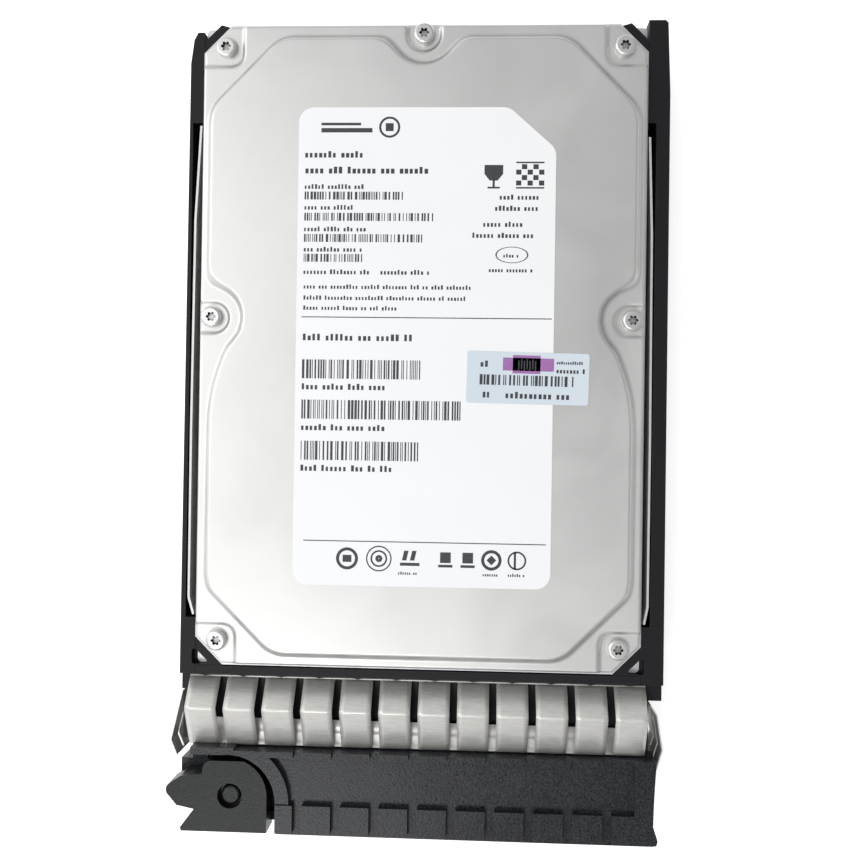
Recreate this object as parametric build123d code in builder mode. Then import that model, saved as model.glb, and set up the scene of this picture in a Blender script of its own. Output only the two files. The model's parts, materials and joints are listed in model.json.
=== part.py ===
from build123d import *
import os
from math import cos, radians, sin

os.makedirs("parts", exist_ok=True)

# A 3.5-inch hard disk drive held in a hot-swap carrier. Millimetres, X across, +Y towards the
# connector end, +Z out of the drive's cover. The origin is the middle of the footprint, on the
# resting plane. Sketches are drawn in drive-centred X and Y; DRIVE_Y carries them to the origin.

# ---- Drive envelope: the 3.5-inch form factor ----
DRIVE_W = 101.6
DRIVE_L = 147.0
DRIVE_H = 26.1
DRIVE_CORNER = 6.3
CORNER_SHELF_Z = 22.3
DRIVE_Y = 18.7
HALF_W = DRIVE_W / 2
HALF_L = DRIVE_L / 2

# ---- Heights in the drive ----
LEDGE_T = 1.5
BASE_Z = LEDGE_T
COVER_TOP = BASE_Z + DRIVE_H
CASTING_TOP = COVER_TOP - 3.0
GASKET_T = 0.6
FLANGE_Z = CASTING_TOP + GASKET_T
SHEET = 0.9
BOARD_BAY_Z = 6.0
CAVITY_FLOOR = 7.6
CLEAR = 0.1

# ---- Form-factor holes, 6-32 UNC ----
TAP_R = 1.75
BOTTOM_HOLE_DX = 95.25
BOTTOM_HOLE_DY = 44.45
BOTTOM_HOLE_Y = HALF_L - 41.28 - BOTTOM_HOLE_DY / 2
SIDE_HOLE_Y = (HALF_L - 28.5, HALF_L - 28.5 - 101.6)
SIDE_HOLE_Z = BASE_Z + 6.35
TAP_DEPTH = 5.0

# ---- Cover screws ----
COVER_SCREW_AT = [
    (-45.3, 68.0), (45.3, 68.0), (0.0, 70.9), (-47.8, 6.2), (47.8, 6.2), (-45.5, -67.6), (45.5, -67.6),
]
COVER_SCREW_HEAD_R = 2.4
COVER_SCREW_HEAD_H = 1.5
COVER_SCREW_R = 1.2

# ---- Spindle and discs ----
SPINDLE_Y = -20.5
WELL_R = 48.3
DISC_R = 47.5
DISC_BORE_R = 12.5
DISC_T = 1.27
DISC_GAP = 2.2
DISC_COUNT = 4
DISC_Z = 10.0
STACK_TOP = DISC_Z + DISC_COUNT * DISC_T + (DISC_COUNT - 1) * DISC_GAP

# ---- Actuator ----
PIVOT = (20.0, 33.0)
ARM_TO_HEAD = 52.0
ARM_REST_DEG = -93.3
ARM_T = 0.9
COIL_Z = 13.8
COIL_T = 3.2
YOKE_R = (12.0, 30.0)
YOKE_DEG = (62.0, 141.0)
COIL_DEG = ARM_REST_DEG + 180.0

# ---- Controller board ----
BOARD_Z = 2.9
BOARD_T = 1.0
BOARD_SCREW_AT = [(-38.0, 66.0), (-38.0, 10.0), (38.0, 10.0), (38.0, 58.0), (-6.0, 30.0)]
CONNECTOR_X = HALF_W - 36.38

# ---- Carrier ----
RAIL_TOP = 24.4
RAIL_INNER = HALF_W + CLEAR
LEFT_OUTER = 54.4
RIGHT_OUTER = 56.0
RAIL_FRONT = -79.8
STRIP_BAY_Y = (-62.8, 51.2)
STRIP_BAY_Z = 12.2
LEFT_BAY_DEPTH = 2.4
RIGHT_BAY_DEPTH = 1.9
FINGER_COUNT = 12
FINGER_PITCH = 8.84
FINGER_SLOT = 1.7
FINGER_W = FINGER_COUNT * FINGER_PITCH - FINGER_SLOT
FINGER_REAR = -75.8
FINGER_RIDGE = -82.45
FINGER_FRONT = -91.7
RIDGE_Z = 28.4
BODY_FRONT = -91.1
BODY_TOP = 22.6
BODY_BOTTOM = 4.6

# ---- Bezel and ejector lever ----
BEZEL_REAR = -91.2
BEZEL_FRONT = -111.7
PAD_FRONT = -110.9
BEZEL_LEFT = -50.9
PLATE_T = 3.0
ROOF_T = 2.0
BEZEL_TOP = 25.4
RAISED_H = 1.8
LEVER_PIVOT = (-41.85, -103.0)
LEVER_PIN_R = 2.225
POCKET_AT = (-42.1, -104.2)
POCKET_R = 10.8
POCKET_RIM = 3.1
CAM_R = 8.5
CAM_Z = (19.6, 26.4)
HANDLE_Z = (3.5, 22.9)
HANDLE_X = (-30.5, 37.8)
HANDLE_FRONT = -110.6
BUTTON_X = (39.4, 49.0)
BUTTON_Z = (5.0, 21.5)
BUTTON_AT = (44.2, 13.2)


def drive_plane(height):
    """A level plane whose origin is on the drive's vertical centre line."""
    return Plane((0, DRIVE_Y, height))


def spindle_plane(height):
    """A level plane whose origin is on the spindle axis."""
    return Plane((0, DRIVE_Y + SPINDLE_Y, height))


def pivot_plane(height):
    """A level plane whose origin is on the actuator's pivot axis."""
    return Plane((PIVOT[0], DRIVE_Y + PIVOT[1], height))


def lever_plane(height):
    """A level plane whose origin is on the ejector lever's pin axis."""
    return Plane((LEVER_PIVOT[0], DRIVE_Y + LEVER_PIVOT[1], height))


def side_plane(x):
    """An upright plane seen from +X: sketch X runs along +Y and sketch Y along +Z."""
    return Plane((x, DRIVE_Y, 0), x_dir=(0, 1, 0), z_dir=(1, 0, 0))


def front_plane(y):
    """An upright plane seen from the front: sketch X runs along +X and sketch Y along +Z."""
    return Plane((0, DRIVE_Y + y, 0), x_dir=(1, 0, 0), z_dir=(0, -1, 0))


def block(x, y, z, mode=Mode.ADD):
    """A box between the two ends given on each axis, in drive-centred X and Y."""
    with Locations(((x[0] + x[1]) / 2, DRIVE_Y + (y[0] + y[1]) / 2, (z[0] + z[1]) / 2)):
        Box(x[1] - x[0], y[1] - y[0], z[1] - z[0], mode=mode)


def polar(radius, degrees):
    """The point at a radius and an angle about the sketch's origin."""
    return (radius * cos(radians(degrees)), radius * sin(radians(degrees)))


def draw_polygon(points, mode=Mode.ADD):
    """A filled outline through the given points."""
    with BuildLine() as outline:
        Polyline(*points, close=True)
    make_face(outline.edges(), mode=mode)


def draw_box(x, y, mode=Mode.ADD):
    """A rectangle between the two ends given on each axis."""
    with Locations(((x[0] + x[1]) / 2, (y[0] + y[1]) / 2)):
        Rectangle(x[1] - x[0], y[1] - y[0], mode=mode)


def draw_torx(radius, mode=Mode.ADD):
    """A six-lobed socket that fits inside the given radius, about the sketch's origin."""
    Circle(radius * 0.74, mode=mode)
    with PolarLocations(radius * 0.74, 6):
        Circle(radius * 0.26, mode=mode)


def draw_fan(radii, degrees, mode=Mode.ADD):
    """A ring sector between two radii and two angles about the sketch's origin."""
    middle = (degrees[0] + degrees[1]) / 2
    with BuildLine() as outline:
        ThreePointArc(polar(radii[1], degrees[0]), polar(radii[1], middle), polar(radii[1], degrees[1]))
        Line(polar(radii[1], degrees[1]), polar(radii[0], degrees[1]))
        ThreePointArc(polar(radii[0], degrees[1]), polar(radii[0], middle), polar(radii[0], degrees[0]))
        Line(polar(radii[0], degrees[0]), polar(radii[1], degrees[0]))
    make_face(outline.edges(), mode=mode)


def draw_cavity():
    """The disc well joined to the actuator bay."""
    with Locations((0, SPINDLE_Y)):
        Circle(WELL_R)
    half = [(39.5, -5), (39.5, 12), (44, 18), (44, 52), (32, 64)]
    draw_polygon(half + [(-x, y) for x, y in reversed(half)])


def draw_drive_outline(inset=0.0):
    """The drive's rectangle with its four corners cut."""
    with BuildSketch(mode=Mode.PRIVATE) as outline:
        Rectangle(DRIVE_W - 2 * inset, DRIVE_L - 2 * inset)
        chamfer(outline.vertices(), DRIVE_CORNER)
    add(outline.sketch)


def draw_plateau():
    """The cover's raised middle: cut corners, scallops round the side and rear screws."""
    with BuildSketch(mode=Mode.PRIVATE) as plateau:
        half = [(33.0, 70.5), (48.8, 54.3), (48.8, -55.2), (33.0, -71.0)]
        draw_polygon(half + [(-x, y) for x, y in reversed(half)])
        with Locations((-45.2, -7.15), (45.2, -7.15)):
            Rectangle(7.6, 26.7, mode=Mode.SUBTRACT)
        with Locations((0, SPINDLE_Y)):
            Circle(DISC_R + 1.3)
        with Locations(COVER_SCREW_AT[3], COVER_SCREW_AT[4]):
            Circle(7.0, mode=Mode.SUBTRACT)
        with Locations((0, 71.5)):
            Circle(7.0, mode=Mode.SUBTRACT)
    add(plateau.sketch)


# ======================================================================== drive: housing
with BuildPart() as base_casting:
    with BuildSketch(drive_plane(BASE_Z)):
        draw_drive_outline()
    extrude(amount=CASTING_TOP - BASE_Z)
    # The corners are full below the cover's cut corners, and end in small shelves.
    with BuildSketch(drive_plane(BASE_Z)):
        RectangleRounded(DRIVE_W, DRIVE_L, 1.0)
    extrude(amount=CORNER_SHELF_Z - BASE_Z)
    with BuildSketch(drive_plane(CAVITY_FLOOR)):
        draw_cavity()
    extrude(amount=CASTING_TOP - CAVITY_FLOOR, mode=Mode.SUBTRACT)
    # The bay for the controller board, open at the rear.
    block((-43.6, 43.6), (-20.0, HALF_L), (BASE_Z, BOARD_BAY_Z), Mode.SUBTRACT)
    block((-35.0, 35.0), (-66.0, -20.0), (BASE_Z, 3.4), Mode.SUBTRACT)
    block((CONNECTOR_X - 24.0, CONNECTOR_X + 24.0), (66.8, HALF_L), (BASE_Z, 9.4), Mode.SUBTRACT)
    # The motor's round seat and the radial ribs ahead of it, seen from below.
    with BuildSketch(spindle_plane(2.6)):
        Circle(19.0)
    extrude(amount=BOARD_BAY_Z - 2.6)
    with BuildSketch(spindle_plane(2.6)):
        with PolarLocations(33.0, 7, start_angle=195.0, angular_range=150.0):
            Rectangle(28.0, 1.6)
        Circle(31.0)
        Circle(29.4, mode=Mode.SUBTRACT)
        with Locations((0, 20.5)):
            Rectangle(80.0, 41.0, mode=Mode.SUBTRACT)
    extrude(amount=1.2)
    with BuildSketch(spindle_plane(BASE_Z)):
        Circle(5.0)
    extrude(amount=CAVITY_FLOOR, mode=Mode.SUBTRACT)
    # Bosses for the board's screws.
    with BuildSketch(drive_plane(BOARD_Z + BOARD_T)):
        with Locations(*BOARD_SCREW_AT):
            Circle(2.6)
    extrude(amount=BOARD_BAY_Z - BOARD_Z - BOARD_T)
    with BuildSketch(drive_plane(BOARD_Z + BOARD_T)):
        with Locations(*BOARD_SCREW_AT):
            Circle(1.0)
    extrude(amount=2.4, mode=Mode.SUBTRACT)
    # Tapped holes: four in the underside, two in each side, seven for the cover.
    with BuildSketch(Plane((0, DRIVE_Y + BOTTOM_HOLE_Y, BASE_Z))):
        with GridLocations(BOTTOM_HOLE_DX, BOTTOM_HOLE_DY, 2, 2):
            Circle(TAP_R)
    extrude(amount=TAP_DEPTH, mode=Mode.SUBTRACT)
    for side in (-1, 1):
        for hole_y in SIDE_HOLE_Y:
            with BuildSketch(Plane((side * HALF_W, DRIVE_Y + hole_y, SIDE_HOLE_Z), z_dir=(-side, 0, 0))):
                Circle(TAP_R)
            extrude(amount=4.0, mode=Mode.SUBTRACT)
    with BuildSketch(drive_plane(CASTING_TOP)):
        with Locations(*COVER_SCREW_AT):
            Circle(COVER_SCREW_R + 0.05)
    extrude(amount=-7.0, mode=Mode.SUBTRACT)
base_casting.part.label = "base_casting"
export_step(base_casting.part, "parts/base_casting.step")

with BuildPart() as cover_gasket:
    with BuildSketch(drive_plane(CASTING_TOP)):
        draw_cavity()
        offset(amount=1.8)
    extrude(amount=GASKET_T)
    with BuildSketch(drive_plane(CASTING_TOP)):
        draw_cavity()
        offset(amount=0.4)
    extrude(amount=GASKET_T, mode=Mode.SUBTRACT)
cover_gasket.part.label = "cover_gasket"
export_step(cover_gasket.part, "parts/cover_gasket.step")


def draw_screw_pockets():
    """The low seats under the cover screws: four corners, two sides, one at the rear."""
    for sx in (-1, 1):
        with Locations((sx * 47.0, 70.4)):
            RectangleRounded(12.0, 14.2, 2.8)
        with Locations((sx * 47.0, -70.7)):
            RectangleRounded(12.0, 14.2, 2.8)
        with Locations((sx * 51.3, 6.0)):
            SlotOverall(15.6, 7.6)
    with Locations((0, 74.0)):
        SlotOverall(14.6, 8.3, rotation=90)


with BuildPart() as top_cover:
    with BuildSketch(drive_plane(FLANGE_Z)):
        draw_drive_outline(0.3)
    extrude(amount=SHEET)
    with BuildSketch(drive_plane(FLANGE_Z + SHEET)):
        draw_plateau()
    extrude(amount=COVER_TOP - FLANGE_Z - SHEET)
    chamfer(top_cover.faces().sort_by(Axis.Z)[-1].outer_wire().edges(), 0.9)
    with BuildSketch(drive_plane(CASTING_TOP)):
        draw_drive_outline(0.3)
        with BuildSketch(mode=Mode.PRIVATE) as pocket_seats:
            draw_screw_pockets()
        add(pocket_seats.sketch, mode=Mode.INTERSECT)
    extrude(amount=SHEET)
    with BuildSketch(drive_plane(CASTING_TOP + SHEET)):
        draw_screw_pockets()
    extrude(amount=3.0, mode=Mode.SUBTRACT)
    with BuildSketch(drive_plane(FLANGE_Z)):
        draw_cavity()
    extrude(amount=COVER_TOP - SHEET - FLANGE_Z, mode=Mode.SUBTRACT)
    with BuildSketch(drive_plane(CASTING_TOP)):
        with Locations(*COVER_SCREW_AT):
            Circle(COVER_SCREW_R + 0.2)
    extrude(amount=SHEET, mode=Mode.SUBTRACT)
top_cover.part.label = "top_cover"
export_step(top_cover.part, "parts/top_cover.step")

with BuildPart() as cover_screws:
    for screw_x, screw_y in COVER_SCREW_AT:
        seat = Plane((screw_x, DRIVE_Y + screw_y, CASTING_TOP + SHEET))
        with BuildSketch(seat):
            Circle(COVER_SCREW_HEAD_R)
        head = extrude(amount=COVER_SCREW_HEAD_H)
        fillet(head.edges().sort_by(Axis.Z)[-1], 0.7)
        with BuildSketch(seat):
            Circle(COVER_SCREW_R)
        extrude(amount=-6.0)
        with BuildSketch(seat.offset(COVER_SCREW_HEAD_H)):
            draw_torx(1.15)
        extrude(amount=-0.9, mode=Mode.SUBTRACT)
cover_screws.part.label = "cover_screws"
export_step(cover_screws.part, "parts/cover_screws.step")

# ---- Labels ----
LABEL_T = 0.12
with BuildPart() as main_label:
    with BuildSketch(drive_plane(COVER_TOP)) as label_face:
        draw_polygon([(-28.0, -54.3), (30.1, -54.3), (30.1, 44.3), (19.5, 53.7), (-28.0, 53.7)])
        fillet(label_face.vertices(), 3.4)
    extrude(amount=LABEL_T)
main_label.part.label = "main_label"
export_step(main_label.part, "parts/main_label.step")

with BuildPart() as serial_sticker:
    with BuildSketch(drive_plane(COVER_TOP + LABEL_T)):
        with Locations((24.4, -7.1)):
            RectangleRounded(27.3, 11.6, 0.6, rotation=-1.0)
    extrude(amount=LABEL_T)
serial_sticker.part.label = "serial_sticker"
export_step(serial_sticker.part, "parts/serial_sticker.step")

# ======================================================================== drive: spindle
for disc in range(DISC_COUNT):
    with BuildPart() as platter:
        with BuildSketch(spindle_plane(DISC_Z + disc * (DISC_T + DISC_GAP))):
            Circle(DISC_R)
            Circle(DISC_BORE_R, mode=Mode.SUBTRACT)
        extrude(amount=DISC_T)
    platter.part.label = f"platter_{disc + 1}"
    export_step(platter.part, f"parts/platter_{disc + 1}.step")

for gap in range(DISC_COUNT - 1):
    with BuildPart() as disc_spacer:
        with BuildSketch(spindle_plane(DISC_Z + DISC_T + gap * (DISC_T + DISC_GAP))):
            Circle(15.8)
            Circle(DISC_BORE_R, mode=Mode.SUBTRACT)
        extrude(amount=DISC_GAP)
    disc_spacer.part.label = f"disc_spacer_{gap + 1}"
    export_step(disc_spacer.part, f"parts/disc_spacer_{gap + 1}.step")

SHAFT_R = 2.45
with BuildPart() as spindle_hub:
    with BuildSketch(spindle_plane(9.0)):
        Circle(16.0)
    extrude(amount=1.0)
    with BuildSketch(spindle_plane(9.0)):
        Circle(DISC_BORE_R)
    extrude(amount=STACK_TOP - 9.0)
    with BuildSketch(spindle_plane(9.0)):
        Circle(11.0)
    extrude(amount=9.6, mode=Mode.SUBTRACT)
    with BuildSketch(spindle_plane(3.4)):
        Circle(SHAFT_R)
    extrude(amount=15.4)
    with BuildSketch(spindle_plane(STACK_TOP)):
        with PolarLocations(9.0, 6):
            Circle(0.8)
    extrude(amount=-2.6, mode=Mode.SUBTRACT)
spindle_hub.part.label = "spindle_hub"
export_step(spindle_hub.part, "parts/spindle_hub.step")

CLAMP_T = 1.4
with BuildPart() as disc_clamp:
    with BuildSketch(spindle_plane(STACK_TOP)):
        Circle(16.0)
        Circle(4.0, mode=Mode.SUBTRACT)
        with PolarLocations(9.0, 6):
            Circle(1.0, mode=Mode.SUBTRACT)
    extrude(amount=CLAMP_T)
disc_clamp.part.label = "disc_clamp"
export_step(disc_clamp.part, "parts/disc_clamp.step")

with BuildPart() as clamp_screws:
    with BuildSketch(spindle_plane(STACK_TOP + CLAMP_T)):
        with PolarLocations(9.0, 6):
            Circle(1.8)
    extrude(amount=1.0)
    with BuildSketch(spindle_plane(STACK_TOP + CLAMP_T)):
        with PolarLocations(9.0, 6):
            Circle(0.78)
    extrude(amount=-3.6)
    with BuildSketch(spindle_plane(STACK_TOP + CLAMP_T + 1.0)):
        with PolarLocations(9.0, 6):
            draw_torx(0.9)
    extrude(amount=-0.6, mode=Mode.SUBTRACT)
clamp_screws.part.label = "clamp_screws"
export_step(clamp_screws.part, "parts/clamp_screws.step")

with BuildPart() as spindle_sleeve:
    with BuildSketch(spindle_plane(2.2)):
        Circle(5.0)
    extrude(amount=15.8)
    with BuildSketch(spindle_plane(3.2)):
        Circle(SHAFT_R + 0.03)
    extrude(amount=15.8, mode=Mode.SUBTRACT)
spindle_sleeve.part.label = "spindle_sleeve"
export_step(spindle_sleeve.part, "parts/spindle_sleeve.step")

with BuildPart() as motor_stator:
    with BuildSketch(spindle_plane(CAVITY_FLOOR)):
        Circle(6.4)
        Circle(5.0, mode=Mode.SUBTRACT)
    extrude(amount=7.4)
    with BuildSketch(spindle_plane(10.2)):
        with PolarLocations(7.2, 9):
            Rectangle(2.6, 1.8)
        with PolarLocations(8.6, 9):
            Rectangle(0.7, 4.2)
    extrude(amount=3.6)
motor_stator.part.label = "motor_stator"
export_step(motor_stator.part, "parts/motor_stator.step")

with BuildPart() as motor_magnet:
    with BuildSketch(spindle_plane(9.4)):
        Circle(11.0)
        Circle(9.6, mode=Mode.SUBTRACT)
    extrude(amount=6.0)
motor_magnet.part.label = "motor_magnet"
export_step(motor_magnet.part, "parts/motor_magnet.step")

# ======================================================================== drive: actuator
PIVOT_STUD_R = 2.4
with BuildPart() as pivot_stud:
    with BuildSketch(pivot_plane(CAVITY_FLOOR)):
        Circle(4.0)
    extrude(amount=0.6)
    with BuildSketch(pivot_plane(CAVITY_FLOOR)):
        Circle(PIVOT_STUD_R)
    extrude(amount=16.6)
pivot_stud.part.label = "pivot_stud"
export_step(pivot_stud.part, "parts/pivot_stud.step")

with BuildPart() as pivot_bearing:
    with BuildSketch(pivot_plane(8.8)):
        Circle(6.0)
        Circle(PIVOT_STUD_R + 0.03, mode=Mode.SUBTRACT)
    extrude(amount=14.6)
pivot_bearing.part.label = "pivot_bearing"
export_step(pivot_bearing.part, "parts/pivot_bearing.step")


def gap_height(index):
    """The middle height of the space under disc number index, the last one being above the stack."""
    return DISC_Z - DISC_GAP / 2 + index * (DISC_T + DISC_GAP)


ARM_LEVELS = [gap_height(index) for index in range(DISC_COUNT + 1)]
ARM_PLATE_END = 33.0
with BuildPart() as actuator_arm:
    with BuildSketch(pivot_plane(ARM_LEVELS[0] - ARM_T / 2 + 0.2)):
        Circle(9.4)
    extrude(amount=ARM_LEVELS[-1] - ARM_LEVELS[0] + ARM_T - 0.4)
    for level in ARM_LEVELS:
        with BuildSketch(pivot_plane(level - ARM_T / 2)):
            with BuildSketch(mode=Mode.PRIVATE) as arm_plate:
                draw_polygon([(0, -8.2), (0, 8.2), (ARM_PLATE_END, 3.0), (ARM_PLATE_END, -3.0)])
                with Locations((19.5, 0)):
                    SlotOverall(14.0, 4.4, mode=Mode.SUBTRACT)
            add(arm_plate.sketch.rotate(Axis.Z, ARM_REST_DEG))
        extrude(amount=ARM_T)
    # The two prongs that hold the coil.
    with BuildSketch(pivot_plane(COIL_Z)):
        draw_fan((8.0, 27.0), (COIL_DEG - 21.0, COIL_DEG - 16.6))
        draw_fan((8.0, 27.0), (COIL_DEG + 16.6, COIL_DEG + 21.0))
    extrude(amount=COIL_T)
    with BuildSketch(pivot_plane(BASE_Z)):
        Circle(6.0)
    extrude(amount=COVER_TOP, mode=Mode.SUBTRACT)
actuator_arm.part.label = "actuator_arm"
export_step(actuator_arm.part, "parts/actuator_arm.step")

with BuildPart() as voice_coil:
    with BuildSketch(pivot_plane(COIL_Z + 0.1)):
        draw_fan((11.5, 27.0), (COIL_DEG - 16.4, COIL_DEG + 16.4))
        draw_fan((15.0, 23.2), (COIL_DEG - 8.5, COIL_DEG + 8.5), Mode.SUBTRACT)
    extrude(amount=COIL_T - 0.2)
voice_coil.part.label = "voice_coil"
export_step(voice_coil.part, "parts/voice_coil.step")

SUSPENSION_T = 0.15
SLIDER_T = 0.3
HEADS = [(level, 1) for level in ARM_LEVELS[:-1]]
HEADS += [(level, -1) for level in ARM_LEVELS[1:]]
with BuildPart() as head_suspensions:
    for level, up in HEADS:
        face = level + up * ARM_T / 2
        with BuildSketch(pivot_plane(min(face, face + up * SUSPENSION_T))):
            with BuildSketch(mode=Mode.PRIVATE) as spring_leaf:
                tip = ARM_TO_HEAD + 1.0
                draw_polygon([(28.0, -2.6), (28.0, 2.6), (36.0, 2.6), (tip, 0.7), (tip, -0.7), (36.0, -2.6)])
                with Locations((38.0, 0)):
                    SlotOverall(6.0, 2.0, mode=Mode.SUBTRACT)
            add(spring_leaf.sketch.rotate(Axis.Z, ARM_REST_DEG))
        extrude(amount=SUSPENSION_T)
head_suspensions.part.label = "head_suspensions"
export_step(head_suspensions.part, "parts/head_suspensions.step")

with BuildPart() as head_sliders:
    for level, up in HEADS:
        face = level + up * (ARM_T / 2 + SUSPENSION_T)
        with BuildSketch(pivot_plane(min(face, face + up * SLIDER_T))):
            with BuildSketch(mode=Mode.PRIVATE) as slider_pad:
                with Locations((ARM_TO_HEAD, 0)):
                    Rectangle(1.2, 1.0)
            add(slider_pad.sketch.rotate(Axis.Z, ARM_REST_DEG))
        extrude(amount=SLIDER_T)
head_sliders.part.label = "head_sliders"
export_step(head_sliders.part, "parts/head_sliders.step")

YOKE_POST_DEG = (65.0, 138.0)
YOKE_GAP = 13.5
with BuildPart() as lower_yoke:
    with BuildSketch(pivot_plane(CAVITY_FLOOR)):
        draw_fan(YOKE_R, YOKE_DEG)
    extrude(amount=2.0)
    with BuildSketch(pivot_plane(CAVITY_FLOOR)):
        for post in YOKE_POST_DEG:
            with Locations(polar(28.4, post)):
                Circle(1.2)
    extrude(amount=YOKE_GAP)
lower_yoke.part.label = "lower_yoke"
export_step(lower_yoke.part, "parts/lower_yoke.step")

with BuildPart() as upper_yoke:
    with BuildSketch(pivot_plane(CAVITY_FLOOR + YOKE_GAP)):
        draw_fan(YOKE_R, YOKE_DEG)
    extrude(amount=2.0)
upper_yoke.part.label = "upper_yoke"
export_step(upper_yoke.part, "parts/upper_yoke.step")

MAGNET_DEG = (YOKE_DEG[0] + 8.0, YOKE_DEG[1] - 8.0)
with BuildPart() as lower_magnet:
    with BuildSketch(pivot_plane(CAVITY_FLOOR + 2.0)):
        draw_fan((14.0, 26.0), MAGNET_DEG)
    extrude(amount=2.4)
lower_magnet.part.label = "lower_magnet"
export_step(lower_magnet.part, "parts/lower_magnet.step")

with BuildPart() as upper_magnet:
    with BuildSketch(pivot_plane(CAVITY_FLOOR + YOKE_GAP)):
        draw_fan((14.0, 26.0), MAGNET_DEG)
    extrude(amount=-2.4)
upper_magnet.part.label = "upper_magnet"
export_step(upper_magnet.part, "parts/upper_magnet.step")

with BuildPart() as crash_stops:
    with BuildSketch(pivot_plane(CAVITY_FLOOR)):
        for stop in (52.0, 151.0):
            with Locations(polar(20.0, stop)):
                Circle(1.3)
    extrude(amount=12.0)
crash_stops.part.label = "crash_stops"
export_step(crash_stops.part, "parts/crash_stops.step")

# ---- Flex circuit and filters ----
with BuildPart() as flex_cable:
    with BuildSketch(pivot_plane(11.0)):
        with BuildLine():
            TangentArc(polar(10.4, 190.0), (-22.85, 3.0), tangent=(-1.0, -0.2))
        trace(line_width=0.2)
    extrude(amount=7.0)
flex_cable.part.label = "flex_cable"
export_step(flex_cable.part, "parts/flex_cable.step")

with BuildPart() as flex_bracket:
    block((-15.0, -3.0), (32.6, 39.2), (CAVITY_FLOOR, 10.2))
    block((-5.0, -3.0), (32.6, 39.2), (10.2, 18.0))
flex_bracket.part.label = "flex_bracket"
export_step(flex_bracket.part, "parts/flex_bracket.step")

with BuildPart() as recirculation_filter:
    with BuildSketch(Plane((-36.0, DRIVE_Y + 26.0, CAVITY_FLOOR), x_dir=(0.8, 0.6, 0))) as filter_pad:
        Rectangle(13.0, 3.0)
        fillet(filter_pad.vertices(), 1.2)
    extrude(amount=12.0)
recirculation_filter.part.label = "recirculation_filter"
export_step(recirculation_filter.part, "parts/recirculation_filter.step")

with BuildPart() as breather_filter:
    with BuildSketch(Plane((-31.0, DRIVE_Y + 46.0, CAVITY_FLOOR))) as filter_box:
        Rectangle(18.0, 14.0)
        fillet(filter_box.vertices(), 2.0)
    extrude(amount=9.0)
breather_filter.part.label = "breather_filter"
export_step(breather_filter.part, "parts/breather_filter.step")

# ======================================================================== drive: electronics
with BuildPart() as controller_board:
    with BuildSketch(drive_plane(BOARD_Z)):
        draw_polygon([(-43.0, -12.0), (43.0, -12.0), (43.0, 72.4), (-43.0, 72.4)])
        with Locations((0, SPINDLE_Y)):
            Circle(22.0, mode=Mode.SUBTRACT)
        with Locations(*BOARD_SCREW_AT):
            Circle(1.25, mode=Mode.SUBTRACT)
        with Locations((-24.0, 69.5)):
            SlotOverall(9.0, 3.0, mode=Mode.SUBTRACT)
    extrude(amount=BOARD_T)
controller_board.part.label = "controller_board"
export_step(controller_board.part, "parts/controller_board.step")

# Chips on the board's inner face: centre, size, height.
CHIPS = [
    ((-12.0, 50.0), (18.0, 18.0), 1.3), ((14.0, 50.0), (11.0, 13.0), 1.1), ((-26.0, 20.0), (9.0, 9.0), 1.0),
    ((20.0, 22.0), (7.0, 7.0), 0.9), ((-32.0, 44.0), (5.0, 8.0), 1.1), ((31.0, 30.0), (6.0, 4.0), 1.4),
]
with BuildPart() as board_chips:
    for centre, size, height in CHIPS:
        with BuildSketch(drive_plane(BOARD_Z + BOARD_T)):
            with Locations(centre):
                Rectangle(*size)
        extrude(amount=height)
board_chips.part.label = "board_chips"
export_step(board_chips.part, "parts/board_chips.step")

with BuildPart() as board_pad:
    with BuildSketch(drive_plane(BOARD_BAY_Z)):
        with Locations((0, 40.0)):
            Rectangle(62.0, 34.0)
        with Locations(*BOARD_SCREW_AT):
            Circle(3.4, mode=Mode.SUBTRACT)
    extrude(amount=-0.5)
board_pad.part.label = "board_pad"
export_step(board_pad.part, "parts/board_pad.step")

with BuildPart() as board_screws:
    for screw_x, screw_y in BOARD_SCREW_AT:
        under = Plane((screw_x, DRIVE_Y + screw_y, BOARD_Z), x_dir=(1, 0, 0), z_dir=(0, 0, -1))
        with BuildSketch(under):
            Circle(2.2)
        extrude(amount=0.9)
        with BuildSketch(under):
            Circle(0.95)
        extrude(amount=-3.0)
        with BuildSketch(under.offset(0.9)):
            draw_torx(1.0)
        extrude(amount=-0.6, mode=Mode.SUBTRACT)
board_screws.part.label = "board_screws"
export_step(board_screws.part, "parts/board_screws.step")

# ---- SATA plug: a power tongue and a signal tongue in one housing ----
POWER_X = (CONNECTOR_X + 1.2, CONNECTOR_X + 21.8)
SIGNAL_X = (CONNECTOR_X - 14.4, CONNECTOR_X - 4.0)
TONGUE_Z = (5.2, 6.43)
TONGUE_END = 73.3
PIN_PITCH = 1.27
with BuildPart() as sata_connector:
    block((CONNECTOR_X - 19.0, CONNECTOR_X + 23.6), (67.0, 69.2), (BOARD_Z + BOARD_T, 9.0))
    block((CONNECTOR_X - 19.0, CONNECTOR_X - 16.8), (67.0, TONGUE_END), (BOARD_Z + BOARD_T, 9.0))
    block((CONNECTOR_X + 22.6, CONNECTOR_X + 23.6), (67.0, TONGUE_END), (BOARD_Z + BOARD_T, 9.0))
    block(POWER_X, (69.2, TONGUE_END), TONGUE_Z)
    block(SIGNAL_X, (69.2, TONGUE_END), TONGUE_Z)
    block((POWER_X[0], POWER_X[0] + 1.2), (69.2, TONGUE_END), (TONGUE_Z[0], 7.6))
    block((SIGNAL_X[0], SIGNAL_X[0] + 1.2), (69.2, TONGUE_END), (TONGUE_Z[0], 7.6))
sata_connector.part.label = "sata_connector"
export_step(sata_connector.part, "parts/sata_connector.step")

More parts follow.
